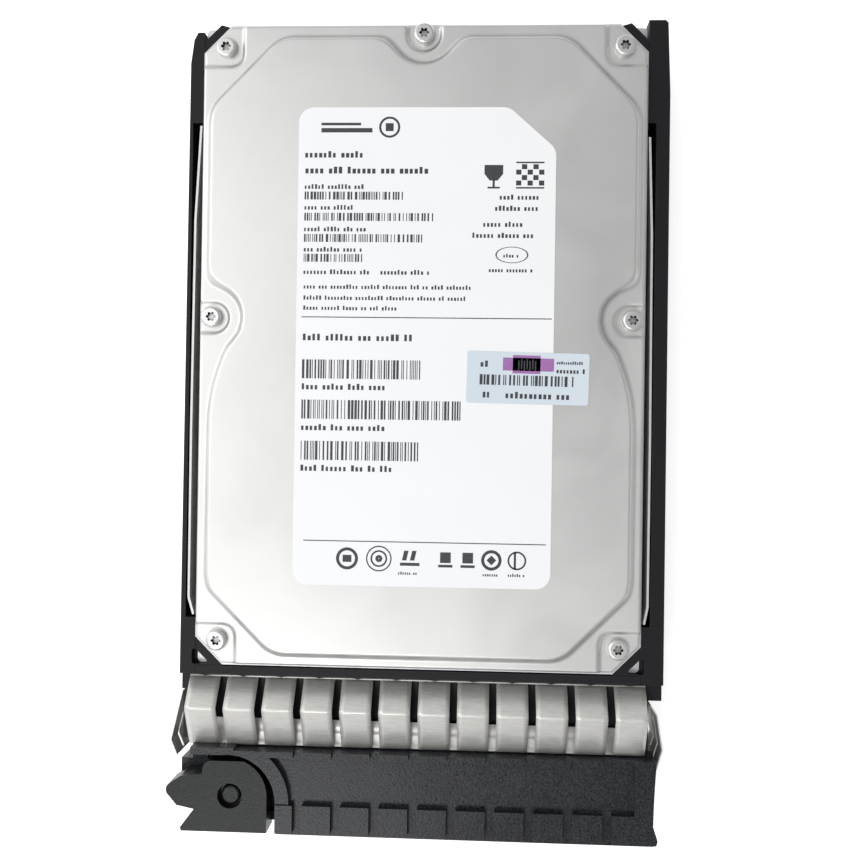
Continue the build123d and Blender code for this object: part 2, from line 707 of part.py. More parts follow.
PIN_X = [POWER_X[0] + 1.9 + PIN_PITCH * pin for pin in range(15)]
PIN_X += [SIGNAL_X[0] + 1.9 + PIN_PITCH * pin for pin in range(7)]
with BuildPart() as connector_contacts:
    for pin_x in PIN_X:
        block((pin_x - 0.4, pin_x + 0.4), (69.2, TONGUE_END - 0.4), (TONGUE_Z[0] - 0.15, TONGUE_Z[0]))
connector_contacts.part.label = "connector_contacts"
export_step(connector_contacts.part, "parts/connector_contacts.step")

# ======================================================================== carrier: rails
STRIP_T = 0.5
RAIL_SCREW_HEAD_R = 3.1
STRUT_TOP = RAIL_TOP - 0.2
STRUT_LOW = CORNER_SHELF_Z + 0.2
STRUT_NEAR = HALF_W + HALF_L - DRIVE_CORNER + 0.2
STRUT_FAR = STRUT_NEAR + 2.7
WINDOW_X = HALF_W + 0.9
CROSSBAR_REAR = -HALF_L - 0.4


def make_rail(side, outer, outer_edge, bay_depth, groove):
    """A side rail: its wall, drive ledges, corner struts, strip bay, side groove and screw seats."""
    inner = RAIL_INNER
    root = inner + 0.6
    with BuildPart() as rail:
        with BuildSketch(drive_plane(0)):
            edge = [(side * x, y) for x, y in outer_edge]
            draw_polygon(edge + [(side * inner, outer_edge[-1][1]), (side * inner, RAIL_FRONT)])
        extrude(amount=RAIL_TOP)
        # The wall stands thinner above the board line for the metal strip.
        bay_x = sorted((side * (inner - 1.0), side * (inner + bay_depth)))
        block(bay_x, STRIP_BAY_Y, (STRIP_BAY_Z, RAIL_TOP), Mode.SUBTRACT)
        # Slanted struts hug the drive's cut corners over the casting's corner shelves.
        with BuildSketch(drive_plane(STRUT_LOW)):
            rear = [(root, STRUT_NEAR - root), (root, STRUT_FAR - root)]
            rear += [(47.0, STRUT_FAR - 47.0), (44.9, STRUT_NEAR - 44.9)]
            draw_polygon([(side * x, y) for x, y in rear])
            front = [
                (root, root - STRUT_NEAR), (root, CROSSBAR_REAR), (STRUT_NEAR + CROSSBAR_REAR, CROSSBAR_REAR),
            ]
            draw_polygon([(side * x, y) for x, y in front])
        extrude(amount=STRUT_TOP - STRUT_LOW)
        # The strut in front closes a rounded window onto the shelf.
        with BuildSketch(drive_plane(STRUT_LOW)) as window:
            low = CROSSBAR_REAR + 0.3
            far = WINDOW_X - STRUT_FAR
            draw_polygon([(side * WINDOW_X, far), (side * WINDOW_X, low), (side * (STRUT_FAR + low), low)])
            fillet(window.vertices(), 0.6)
        extrude(amount=RAIL_TOP - STRUT_LOW, mode=Mode.SUBTRACT)
        # The front end steps down under the shielding fingers.
        step_x = sorted((side * inner, side * outer))
        block(step_x, (RAIL_FRONT, FINGER_REAR), (BODY_TOP - 0.4, RAIL_TOP), Mode.SUBTRACT)
        block(step_x, (RAIL_FRONT, FINGER_REAR), (0, BODY_BOTTOM), Mode.SUBTRACT)
        # Three ledges under the drive leave its tapped holes open.
        for ledge_y in (-58.0, 9.0, 60.0):
            block(sorted((side * (inner + 1.0), side * 45.6)), (ledge_y - 7.0, ledge_y + 7.0), (0, LEDGE_T))
        # A running groove along the outside, crossed by ribs.
        for rib in range(7):
            rib_y = RAIL_FRONT + 6.0 + rib * 20.6
            groove_x = sorted((side * (outer - groove), side * (outer + 1.0)))
            block(groove_x, (rib_y, rib_y + 18.8), (13.6, 20.2), Mode.SUBTRACT)
        for hole_y in SIDE_HOLE_Y:
            screw_seat = Plane((side * outer, DRIVE_Y + hole_y, SIDE_HOLE_Z), z_dir=(-side, 0, 0))
            with BuildSketch(screw_seat):
                Circle(RAIL_SCREW_HEAD_R + 0.3)
            extrude(amount=outer - inner - 1.0, mode=Mode.SUBTRACT)
            with BuildSketch(screw_seat):
                Circle(TAP_R + 0.15)
            extrude(amount=outer - inner + 1.0, mode=Mode.SUBTRACT)
    return rail


LEFT_EDGE = [(LEFT_OUTER, RAIL_FRONT), (LEFT_OUTER - 0.4, 65.0), (53.3, 70.4), (52.4, 72.1)]
left_rail = make_rail(-1, LEFT_OUTER, LEFT_EDGE, LEFT_BAY_DEPTH, 0.8)
left_rail.part.label = "left_rail"
export_step(left_rail.part, "parts/left_rail.step")

RIGHT_EDGE = [(RIGHT_OUTER, RAIL_FRONT), (RIGHT_OUTER - 0.2, 58.0), (55.2, 73.9), (54.6, 74.5)]
right_rail = make_rail(1, RIGHT_OUTER, RIGHT_EDGE, RIGHT_BAY_DEPTH, 1.6)
right_rail.part.label = "right_rail"
export_step(right_rail.part, "parts/right_rail.step")


def make_rail_strip(side, path):
    """A thin metal strip on edge, bowed against the rail's wall; path gives offsets from the drive's side."""
    with BuildPart() as strip:
        with BuildSketch(drive_plane(STRIP_BAY_Z)):
            with BuildLine():
                FilletPolyline(*[(side * (RAIL_INNER + depth), y) for depth, y in path], radius=2.0)
            trace(line_width=STRIP_T)
        extrude(amount=STRUT_TOP - STRIP_BAY_Z)
    return strip


left_rail_strip = make_rail_strip(-1, [(0.5, 50.6), (1.55, 29.0), (1.8, -20.0), (1.75, -58.3), (0.6, -62.2)])
left_rail_strip.part.label = "left_rail_strip"
export_step(left_rail_strip.part, "parts/left_rail_strip.step")

right_rail_strip = make_rail_strip(1, [(0.5, 48.0), (1.2, 26.0), (1.4, -20.0), (1.35, -58.3), (0.6, -62.2)])
right_rail_strip.part.label = "right_rail_strip"
export_step(right_rail_strip.part, "parts/right_rail_strip.step")

with BuildPart() as rail_screws:
    for side in (-1, 1):
        for hole_y in SIDE_HOLE_Y:
            seat = Plane((side * (RAIL_INNER + 1.0), DRIVE_Y + hole_y, SIDE_HOLE_Z), z_dir=(side, 0, 0))
            with BuildSketch(seat):
                Circle(RAIL_SCREW_HEAD_R)
            extrude(amount=1.3)
            with BuildSketch(seat):
                Circle(TAP_R - 0.1)
            extrude(amount=-4.6)
            with BuildSketch(seat.offset(1.3)):
                draw_torx(1.5)
            extrude(amount=-0.8, mode=Mode.SUBTRACT)
rail_screws.part.label = "rail_screws"
export_step(rail_screws.part, "parts/rail_screws.step")

# ======================================================================== carrier: shielding
VENT_W = 13.4
VENT_Z = (7.6, 19.6)
VENT_COUNT = 5
VENT_X = [(index - (VENT_COUNT - 1) / 2) * 17.68 for index in range(VENT_COUNT)]
with BuildPart() as cross_member:
    block((-HALF_W, HALF_W), (FINGER_REAR, CROSSBAR_REAR), (0, RAIL_TOP))
    block((-HALF_W, HALF_W), (BODY_FRONT, FINGER_REAR), (BODY_BOTTOM, BODY_TOP))
    block((-53.9, 53.0), (BODY_FRONT, RAIL_FRONT - 0.3), (BODY_BOTTOM, BODY_TOP))
    for vent_x in VENT_X:
        block((vent_x - VENT_W / 2, vent_x + VENT_W / 2), (-92.0, -73.0), VENT_Z, Mode.SUBTRACT)
cross_member.part.label = "cross_member"
export_step(cross_member.part, "parts/cross_member.step")

FINGER_T = 0.3


def make_fingers(front, edge_z, ridge_z, flange_z):
    """A spring strip folded like a low roof, slit into fingers that stay joined at their front."""
    with BuildPart() as fingers:
        with BuildSketch(side_plane(-FINGER_W / 2)):
            with BuildLine():
                FilletPolyline(
                    (FINGER_REAR - 0.3, edge_z), (FINGER_RIDGE, ridge_z), (front + 0.3, edge_z), radius=1.0
                )
            trace(line_width=FINGER_T)
        extrude(amount=FINGER_W)
        for slot in range(1, FINGER_COUNT):
            slot_x = -FINGER_W / 2 - FINGER_SLOT / 2 + slot * FINGER_PITCH
            span = sorted((edge_z + (ridge_z - edge_z) * 0.12, ridge_z + (ridge_z - edge_z)))
            across = (slot_x - FINGER_SLOT / 2, slot_x + FINGER_SLOT / 2)
            block(across, (front - 1.0, FINGER_REAR + 1.0), span, Mode.SUBTRACT)
            low = sorted((edge_z - (ridge_z - edge_z) * 0.2, ridge_z))
            block(across, (FINGER_RIDGE, FINGER_REAR + 1.0), low, Mode.SUBTRACT)
        flange = sorted((flange_z, flange_z + FINGER_T))
        block((-FINGER_W / 2, FINGER_W / 2), (front + 0.1, front + 6.0), flange)
    return fingers


emi_top_fingers = make_fingers(FINGER_FRONT, BODY_TOP + 0.35, RIDGE_Z, BODY_TOP)
emi_top_fingers.part.label = "emi_top_fingers"
export_step(emi_top_fingers.part, "parts/emi_top_fingers.step")

emi_bottom_fingers = make_fingers(BODY_FRONT + 0.2, BODY_BOTTOM - 0.35, 0.4, BODY_BOTTOM - FINGER_T)
emi_bottom_fingers.part.label = "emi_bottom_fingers"
export_step(emi_bottom_fingers.part, "parts/emi_bottom_fingers.step")


def make_side_spring(path):
    """A bowed leaf that stands out of the carrier's side, slit into three fingers."""
    with BuildPart() as spring:
        with BuildSketch(drive_plane(4.9)):
            with BuildLine():
                FilletPolyline(*path, radius=0.8)
            trace(line_width=FINGER_T)
        extrude(amount=17.0)
        reach = sorted((path[0][0] * 0.97, path[0][0] * 1.07))
        for slit in (10.4, 16.2):
            block(reach, (-95.0, -84.5), (slit - 0.5, slit + 0.5), Mode.SUBTRACT)
    return spring


emi_left_spring = make_side_spring([(-54.4, -80.4), (-57.0, -91.9), (-55.5, -95.4)])
emi_left_spring.part.label = "emi_left_spring"
export_step(emi_left_spring.part, "parts/emi_left_spring.step")

emi_right_spring = make_side_spring([(53.6, -81.0), (55.1, -83.2), (56.4, -91.1), (54.9, -95.9)])
emi_right_spring.part.label = "emi_right_spring"
export_step(emi_right_spring.part, "parts/emi_right_spring.step")

# ======================================================================== carrier: bezel
PAD_W = 6.6
PAD_PITCH = 8.72
PAD_X = [-21.96 + PAD_PITCH * index for index in range(8)]
PANEL_X = (PAD_X[0] - PAD_W / 2 - PAD_PITCH + PAD_W, 49.5)
PANEL_Y = (-104.5, -93.8)
LIP_Y = -92.45
RIGHT_WALL_X = 50.3
PIPE_X = 51.6
PIPE_Z = (7.0, 12.0, 17.0)


def draw_bezel_plan():
    """The bezel seen from above: straight rear and front, hollow right flank with a flared foot."""
    with BuildLine() as outline:
        Line((BEZEL_LEFT, BEZEL_REAR), (54.4, BEZEL_REAR))
        ThreePointArc((54.4, BEZEL_REAR), (53.9, -99.5), (53.7, -106.6))
        Polyline((53.7, -106.6), (54.7, -109.7), (54.6, -110.4), (54.0, BEZEL_FRONT))
        Line((54.0, BEZEL_FRONT), (BEZEL_LEFT, BEZEL_FRONT))
        Line((BEZEL_LEFT, BEZEL_FRONT), (BEZEL_LEFT, BEZEL_REAR))
    make_face(outline.edges())


def draw_lever_pocket():
    """The round pocket about the lever's pin, open to the left and to the front."""
    with Locations(POCKET_AT):
        Circle(POCKET_R)
    draw_box((-60, POCKET_AT[0] + POCKET_R), (-113, POCKET_AT[1]))
    draw_box((-60, POCKET_AT[0]), (-113, -93.5))


def draw_raised_face():
    """The raised parts of the top face: left end, the pocket's rim, the pads and the right border."""
    with Locations(POCKET_AT):
        Circle(POCKET_R + POCKET_RIM)
    draw_box((-60, 0), (-120, POCKET_AT[1]), Mode.SUBTRACT)
    draw_box((BEZEL_LEFT, POCKET_AT[0]), (-96.0, BEZEL_REAR - 0.7))
    draw_box((POCKET_AT[0], PANEL_X[0]), (PANEL_Y[1], LIP_Y))
    draw_box((-40.9, 60), (LIP_Y, -80), Mode.SUBTRACT)
    draw_box((-60, 60), (BEZEL_REAR - 0.7, -80), Mode.SUBTRACT)
    draw_box((POCKET_AT[0] + POCKET_R, PANEL_X[0]), (PAD_FRONT, PANEL_Y[0]))
    for pad_x in PAD_X:
        draw_box((pad_x - PAD_W / 2, pad_x + PAD_W / 2), (PAD_FRONT, PANEL_Y[0]))
        draw_box((pad_x - PAD_W / 2, pad_x + PAD_W / 2), (PANEL_Y[1], LIP_Y))
    draw_box((PAD_X[-1] + PAD_PITCH - PAD_W / 2, 60), (PAD_FRONT, PANEL_Y[0]))
    draw_box((PANEL_X[1], 60), (PAD_FRONT, LIP_Y))


with BuildPart() as front_bezel:
    with BuildSketch(drive_plane(0)):
        draw_bezel_plan()
    extrude(amount=BEZEL_TOP)
    with BuildSketch(drive_plane(BEZEL_TOP)):
        draw_bezel_plan()
        with BuildSketch(mode=Mode.PRIVATE) as raised:
            draw_raised_face()
        add(raised.sketch, mode=Mode.INTERSECT)
    extrude(amount=RAISED_H)
    # The chamber for the lever's handle and the button, open in front.
    block((-60, RIGHT_WALL_X), (-113, -93.4), (PLATE_T, BEZEL_TOP - ROOF_T), Mode.SUBTRACT)
    with BuildSketch(drive_plane(PLATE_T)):
        draw_lever_pocket()
    extrude(amount=BEZEL_TOP, mode=Mode.SUBTRACT)
    # A low lip along the rear, under the shielding fingers.
    block((-60, 60), (BEZEL_REAR - 0.7, -90), (BODY_TOP - 0.6, 30), Mode.SUBTRACT)
    block((-40.9, 60), (LIP_Y, -90), (BODY_TOP - 0.6, 30), Mode.SUBTRACT)
    # Vents through the back wall.
    for vent_x in VENT_X:
        if vent_x > HANDLE_X[0]:
            block((vent_x - VENT_W / 2, vent_x + VENT_W / 2), (-94.0, -90.0), VENT_Z, Mode.SUBTRACT)
    # The guide post left of the lever, and the seat of the lever's pin.
    block((-52.6, -49.0), (-98.0, -91.4), (0, 18.8))
    block((-55.2, -49.0), (-101.0, -96.9), (0, 18.8))
    with BuildSketch(lever_plane(0)):
        Circle(LEVER_PIN_R)
    extrude(amount=PLATE_T, mode=Mode.SUBTRACT)
    # The button's spring seat and the light pipes' channels.
    with Locations((BUTTON_AT[0], DRIVE_Y - 93.4, BUTTON_AT[1])):
        Cylinder(1.5, 1.6, rotation=(90, 0, 0), align=(Align.CENTER, Align.CENTER, Align.MIN))
    for pipe_z in PIPE_Z:
        block((PIPE_X - 0.7, PIPE_X + 0.7), (-113, -90), (pipe_z - 0.8, pipe_z + 0.8), Mode.SUBTRACT)
front_bezel.part.label = "front_bezel"
export_step(front_bezel.part, "parts/front_bezel.step")

with BuildPart() as light_pipes:
    for pipe_z in PIPE_Z:
        pipe_x = (PIPE_X - 0.65, PIPE_X + 0.65)
        block(pipe_x, (BEZEL_FRONT + 0.2, BEZEL_REAR - 0.2), (pipe_z - 0.75, pipe_z + 0.75))
light_pipes.part.label = "light_pipes"
export_step(light_pipes.part, "parts/light_pipes.step")

# ======================================================================== carrier: ejector
with BuildPart() as lever_pin:
    with BuildSketch(lever_plane(0.3)):
        Circle(LEVER_PIN_R)
    extrude(amount=25.2)
    fillet(lever_pin.edges().sort_by(Axis.Z)[-1], 0.6)
lever_pin.part.label = "lever_pin"
export_step(lever_pin.part, "parts/lever_pin.step")

CAM_RIGHT = LEVER_PIVOT[0] + CAM_R
with BuildPart() as ejector_lever:
    # The cam plate: a rounded heel round the pin and two teeth on its left.
    with BuildSketch(drive_plane(CAM_Z[0])) as cam_face:
        with BuildLine():
            heel_y = LEVER_PIVOT[1] + 7.9
            heel_x = LEVER_PIVOT[0] + (CAM_R**2 - 7.9**2) ** 0.5
            heel_mid = (LEVER_PIVOT[0] + CAM_R * cos(radians(34)), LEVER_PIVOT[1] + CAM_R * sin(radians(34)))
            Polyline((-53.3, -98.8), (-48.2, -98.1), (-48.2, heel_y), (heel_x, heel_y))
            ThreePointArc((heel_x, heel_y), heel_mid, (CAM_RIGHT, LEVER_PIVOT[1]))
            Polyline(
                (CAM_RIGHT, LEVER_PIVOT[1]), (CAM_RIGHT, -111.2), (-53.0, -111.2), (-53.2, -110.4),
                (-50.1, -106.2), (-54.1, -105.4), (-55.9, -103.3),
            )
            ThreePointArc((-55.9, -103.3), (-56.6, -101.9), (-55.9, -100.5))
            Line((-55.9, -100.5), (-53.3, -98.8))
        make_face()
        fillet(cam_face.vertices().group_by(Axis.Y)[-1].sort_by(Axis.X)[0], 2.0)
    extrude(amount=CAM_Z[1] - CAM_Z[0])
    # The hub down to the bottom plate, the neck and the handle.
    with BuildSketch(lever_plane(PLATE_T + 0.3)):
        Circle(6.0)
    extrude(amount=CAM_Z[0] - PLATE_T - 0.3)
    block((LEVER_PIVOT[0], HANDLE_X[0] + 3.0), (-107.6, -100.2), (6.5, 19.6))
    block((-48.3, HANDLE_X[0] + 1.0), (HANDLE_FRONT, -108.6), (HANDLE_Z[0], CAM_Z[0]))
    block(HANDLE_X, (HANDLE_FRONT, -100.2), HANDLE_Z)
    hollow_x = (HANDLE_X[0] + 2.2, HANDLE_X[1] - 2.2)
    block(hollow_x, (HANDLE_FRONT + 2.4, -99.0), (HANDLE_Z[0] + 2.2, HANDLE_Z[1] - 2.2), Mode.SUBTRACT)
    long_edges = ejector_lever.edges().filter_by(Axis.X).filter_by(lambda edge: edge.length > 60)
    fillet(long_edges.group_by(Axis.Y)[0], 1.2)
    # Vent slots through the handle's face.
    for column in range(6):
        for row in range(3):
            slot_x = HANDLE_X[0] + 9.0 + column * 8.84
            slot_z = 8.6 + row * 4.6
            block((slot_x - 3.1, slot_x + 3.1), (-113, -108), (slot_z - 1.1, slot_z + 1.1), Mode.SUBTRACT)
    with BuildSketch(lever_plane(0)):
        Circle(LEVER_PIN_R + 0.05)
    extrude(amount=CAM_Z[1], mode=Mode.SUBTRACT)
    with BuildSketch(lever_plane(CAM_Z[1] - 2.2)):
        Circle(2.85)
    extrude(amount=2.2, mode=Mode.SUBTRACT)
ejector_lever.part.label = "ejector_lever"
export_step(ejector_lever.part, "parts/ejector_lever.step")

with BuildPart() as release_button:
    block(BUTTON_X, (-110.8, -99.0), BUTTON_Z)
    fillet(release_button.edges().filter_by(Axis.X).group_by(Axis.Y)[0], 1.2)
    fillet(release_button.faces().sort_by(Axis.Y)[0].edges().filter_by(Axis.Z), 0.8)
    groove_x = (BUTTON_X[0] + 1.4, BUTTON_X[1] - 1.4)
    for groove in range(3):
        groove_z = 9.6 + groove * 3.6
        block(groove_x, (-112, -110.3), (groove_z - 0.6, groove_z + 0.6), Mode.SUBTRACT)
    with BuildSketch(front_plane(-99.0)):
        with Locations(BUTTON_AT):
            Circle(3.2)
    extrude(amount=8.0, mode=Mode.SUBTRACT)
release_button.part.label = "release_button"
export_step(release_button.part, "parts/release_button.step")

SPRING_R = 2.3
SPRING_WIRE_R = 0.3
with BuildPart() as button_spring:
    with BuildLine() as coil:
        seat = (BUTTON_AT[0], DRIVE_Y - 93.8, BUTTON_AT[1])
        Helix(pitch=1.3, height=8.0, radius=SPRING_R, center=seat, direction=(0, -1, 0))
    with BuildSketch(Plane(origin=coil.line @ 0, z_dir=coil.line % 0)):
        Circle(SPRING_WIRE_R)
    sweep()
button_spring.part.label = "button_spring"
export_step(button_spring.part, "parts/button_spring.step")
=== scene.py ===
import json
import math
import random

import bmesh
import bpy
import numpy as np
from mathutils import Matrix, Vector


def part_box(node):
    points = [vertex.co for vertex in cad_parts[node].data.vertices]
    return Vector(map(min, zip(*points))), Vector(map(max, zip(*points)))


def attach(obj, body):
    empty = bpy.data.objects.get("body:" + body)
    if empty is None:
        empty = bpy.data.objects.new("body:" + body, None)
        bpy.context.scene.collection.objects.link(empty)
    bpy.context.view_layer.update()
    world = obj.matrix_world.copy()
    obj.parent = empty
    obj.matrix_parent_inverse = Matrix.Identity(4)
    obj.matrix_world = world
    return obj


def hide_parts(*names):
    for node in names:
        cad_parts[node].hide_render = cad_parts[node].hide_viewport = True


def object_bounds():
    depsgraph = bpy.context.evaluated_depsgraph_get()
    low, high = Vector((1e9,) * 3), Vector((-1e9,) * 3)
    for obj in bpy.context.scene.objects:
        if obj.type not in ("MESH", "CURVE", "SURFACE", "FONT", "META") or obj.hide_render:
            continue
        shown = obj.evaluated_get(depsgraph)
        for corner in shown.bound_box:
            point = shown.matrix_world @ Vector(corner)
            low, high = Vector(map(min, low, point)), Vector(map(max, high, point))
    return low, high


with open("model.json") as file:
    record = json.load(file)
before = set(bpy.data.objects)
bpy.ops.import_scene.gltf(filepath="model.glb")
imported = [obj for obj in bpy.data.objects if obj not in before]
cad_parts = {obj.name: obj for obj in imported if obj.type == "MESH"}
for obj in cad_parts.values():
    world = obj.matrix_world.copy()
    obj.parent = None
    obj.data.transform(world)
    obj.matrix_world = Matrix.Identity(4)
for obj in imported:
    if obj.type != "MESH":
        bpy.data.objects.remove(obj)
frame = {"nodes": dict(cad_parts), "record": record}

CAD_LOW, CAD_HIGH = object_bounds()
NODES = frame["nodes"]
MM = 0.001
BODY = "carrier_with_drive"

# ------------------------------------------------------------------------------------------
# Places taken from the frame, in metres
# ------------------------------------------------------------------------------------------
CASTING_LOW, CASTING_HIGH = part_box("base_casting")
COVER_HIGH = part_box("top_cover")[1]
LABEL_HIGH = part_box("main_label")[1]
STICKER_LOW, STICKER_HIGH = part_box("serial_sticker")
SPINDLE_LOW, SPINDLE_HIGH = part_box("platter_1")
DRIVE_X = (CASTING_LOW.x + CASTING_HIGH.x) / 2
DRIVE_Y = (CASTING_LOW.y + CASTING_HIGH.y) / 2
SPINDLE_Y = (SPINDLE_LOW.y + SPINDLE_HIGH.y) / 2 - DRIVE_Y


# ------------------------------------------------------------------------------------------
# Small helpers for shader graphs
# ------------------------------------------------------------------------------------------
NOISE_LOW, NOISE_HIGH = 0.3, 0.7  # where nearly all of a noise texture's values lie
BEVEL_SAMPLES = 4
HOLLOW_SAMPLES = 8


def toned(color, factor, lift=0.0):
    """A colour times a factor, plus a lift, no brighter than white."""
    return tuple(min(1.0, channel * factor + lift) for channel in color)


class Graph:
    """A material's node tree with short ways to add the nodes this scene uses."""

    def __init__(self, name, color, roughness, metallic=0.0, **sockets):
        self.material = bpy.data.materials.new(name)
        self.material.use_nodes = True
        self.nodes = self.material.node_tree.nodes
        self.links = self.material.node_tree.links
        self.shader = self.nodes["Principled BSDF"]
        self.shader.inputs["Base Color"].default_value = (*color, 1.0)
        self.shader.inputs["Roughness"].default_value = roughness
        self.shader.inputs["Metallic"].default_value = metallic
        for socket, value in sockets.items():
            self.shader.inputs[socket.replace("_", " ")].default_value = value
        self.place = self.nodes.new("ShaderNodeTexCoord").outputs["Object"]

    def put(self, kind, inputs, **settings):
        """Adds a node. An input is a value, or another node's socket to link."""
        node = self.nodes.new(kind)
        for key, value in settings.items():
            setattr(node, key, value)
        for key, value in inputs.items():
            if isinstance(value, bpy.types.NodeSocket):
                self.links.new(value, node.inputs[key])
            else:
                node.inputs[key].default_value = value
        return node

    def stretched(self, scale):
        """Object coordinates stretched by a factor along each axis."""
        return self.put("ShaderNodeMapping", {"Vector": self.place, "Scale": scale}).outputs["Vector"]

    def noise(self, size, detail=3.0, roughness=0.55, vector=None, distortion=0.0):
        """Noise whose features are about size metres wide."""
        node = self.put("ShaderNodeTexNoise", {
            "Vector": vector or self.place, "Scale": 1.0 / size, "Detail": detail, "Roughness": roughness,
            "Distortion": distortion,
        })
        return node.outputs["Fac"]

    def cells(self, size):
        """Voronoi cells about size metres wide, as the distance from a cell's point."""
        node = self.put("ShaderNodeTexVoronoi", {"Vector": self.place, "Scale": 1.0 / size}, feature="F1")
        return node.outputs["Distance"]

    def waves(self, scale, distortion, detail_scale, direction):
        """Bands along one axis, closer together at a higher scale, wandering by a distortion."""
        return self.put("ShaderNodeTexWave", {
            "Vector": self.place, "Scale": scale, "Distortion": distortion, "Detail": 1.0,
            "Detail Scale": detail_scale,
        }, wave_type="BANDS", bands_direction=direction).outputs["Fac"]

    def remap(self, value, low, high, to_low=0.0, to_high=1.0):
        """A value between low and high, moved to the range to_low to to_high and held inside it."""
        node = self.put("ShaderNodeMapRange", {
            "Value": value, "From Min": low, "From Max": high, "To Min": to_low, "To Max": to_high,
        })
        return node.outputs["Result"]

    def spread(self, noise, to_low=0.0, to_high=1.0):
        """Noise stretched to fill a range."""
        return self.remap(noise, NOISE_LOW, NOISE_HIGH, to_low, to_high)

    def math(self, operation, a, b):
        return self.put("ShaderNodeMath", {0: a, 1: b}, operation=operation).outputs[0]

    def mix(self, factor, a, b):
        """A colour between a and b."""
        node = self.nodes.new("ShaderNodeMix")
        node.data_type = "RGBA"
        for key, value in ((0, factor), (6, a), (7, b)):
            if isinstance(value, bpy.types.NodeSocket):
                self.links.new(value, node.inputs[key])
            else:
                node.inputs[key].default_value = (*value, 1.0) if key else value
        return node.outputs[2]

    def bump(self, height, strength, distance, normal=None):
        """A normal tilted by a height field that stands distance metres high."""
        inputs = {"Height": height, "Strength": strength, "Distance": distance}
        if normal is not None:
            inputs["Normal"] = normal
        return self.put("ShaderNodeBump", inputs).outputs["Normal"]

    def edges(self, radius):
        """How sharp the surface is within a radius: near 0 on a flat, towards 1 at an edge."""
        bevel = self.nodes.new("ShaderNodeBevel")
        bevel.samples = BEVEL_SAMPLES
        bevel.inputs["Radius"].default_value = radius
        geometry = self.nodes.new("ShaderNodeNewGeometry")
        dot = self.put("ShaderNodeVectorMath", {0: bevel.outputs[0], 1: geometry.outputs["Normal"]},
                       operation="DOT_PRODUCT")
        return self.remap(dot.outputs["Value"], 0.99, 0.8)

    def hollow(self, reach):
        """How deep a point lies in a recess of its own piece: 0 in the open, 1 at the bottom. It is the
        mask for painted shade in recesses.
        """
        shade = self.put("ShaderNodeAmbientOcclusion", {"Distance": reach}, samples=HOLLOW_SAMPLES,
                         only_local=True)
        return self.remap(shade.outputs["AO"], 0.62, 0.4)

    def color(self, value):
        self.links.new(value, self.shader.inputs["Base Color"])

    def roughness(self, value):
        self.links.new(value, self.shader.inputs["Roughness"])

    def normal(self, value):
        self.links.new(value, self.shader.inputs["Normal"])


INK_ROUGHNESS = 0.45


def grain_plastic(name, dark, light, roughness, grain, depth, worn=0.25, sheen=0.5):
    """Moulded plastic with an eroded grain: speckled colour, grain bump, paler worn edges."""
    g = Graph(name, dark, roughness, Specular_IOR_Level=sheen)
    speck = g.noise(grain, detail=4.0, roughness=0.7)
    blotch = g.noise(grain * 40, detail=2.0)
    base = g.mix(g.remap(speck, 0.38, 0.68), dark, light)
    shade = g.mix(g.spread(blotch, 0.0, 0.35), base, toned(dark, 0.6))
    wear = g.math("MULTIPLY", g.edges(0.0005), g.remap(g.noise(0.004), 0.35, 0.75, 0.0, worn))
    g.color(g.mix(wear, shade, toned(light, 3.2, 0.02)))
    g.roughness(g.spread(speck, roughness - 0.08, roughness + 0.1))
    pits = g.bump(g.cells(grain * 1.3), 0.6, depth)
    g.normal(g.bump(speck, 0.8, depth, pits))
    return g.material


def brushed_metal(name, color, roughness, streak, axis_scale, wear=0.2, metallic=1.0, paint_hollow_shade=False):
    """Drawn or plated metal with fine streaks, soft smudges, edges worn bright by rubbing and, if asked,
    painted shade that darkens its recesses.
    """
    g = Graph(name, color, roughness, metallic=metallic)
    lines = g.noise(streak, detail=3.0, vector=g.stretched(axis_scale))
    smudge = g.noise(0.012, detail=4.0, distortion=0.6)
    tone = g.mix(g.spread(lines), toned(color, 0.9), toned(color, 1.06))
    rub = g.math("MULTIPLY", g.edges(0.0004), g.spread(g.noise(0.003), 0.0, wear))
    rubbed_and_hollow_shade = g.mix(rub, tone, (0.95, 0.95, 0.93))
    if paint_hollow_shade:
        # Painted shade: points deep in a recess, such as a screw socket, are darkened to near black.
        rubbed_and_hollow_shade = g.mix(g.hollow(0.0016), rubbed_and_hollow_shade, (0.015, 0.014, 0.013))
    g.color(rubbed_and_hollow_shade)
    smudged = g.spread(smudge, roughness - 0.05, roughness + 0.09)
    g.roughness(g.math("ADD", smudged, g.spread(lines, -0.03, 0.05)))
    g.normal(g.bump(lines, 0.25, 0.00002))
    return g.material


def cast_metal(name, color, roughness):
    """Die-cast aluminium: a fine pebbled skin, specks and faint flow marks."""
    g = Graph(name, color, roughness, metallic=1.0)
    pebble = g.noise(0.0009, detail=5.0, roughness=0.7)
    flow = g.noise(0.012, detail=2.0, distortion=0.3)
    speck = g.remap(g.cells(0.0011), 0.1, 0.5)
    tone = g.mix(g.spread(flow), toned(color, 0.94), color)
    g.color(g.mix(speck, toned(color, 0.9), tone))
    g.roughness(g.spread(pebble, roughness - 0.08, roughness + 0.1))
    g.normal(g.bump(pebble, 0.5, 0.00006))
    return g.material


def coated_paper(name, tint, shadow):
    """Satin label paper: faint fibre, slight toning and a soft sheen from its film."""
    g = Graph(name, tint, 0.42, Coat_Weight=0.25, Coat_Roughness=0.3)
    fibre = g.noise(0.0006, detail=5.0, roughness=0.65)
    toning = g.noise(0.03, detail=2.0)
    g.color(g.mix(g.spread(toning), tint, shadow))
    g.roughness(g.spread(fibre, 0.36, 0.5))
    g.normal(g.bump(fibre, 0.15, 0.00002))
    return g.material


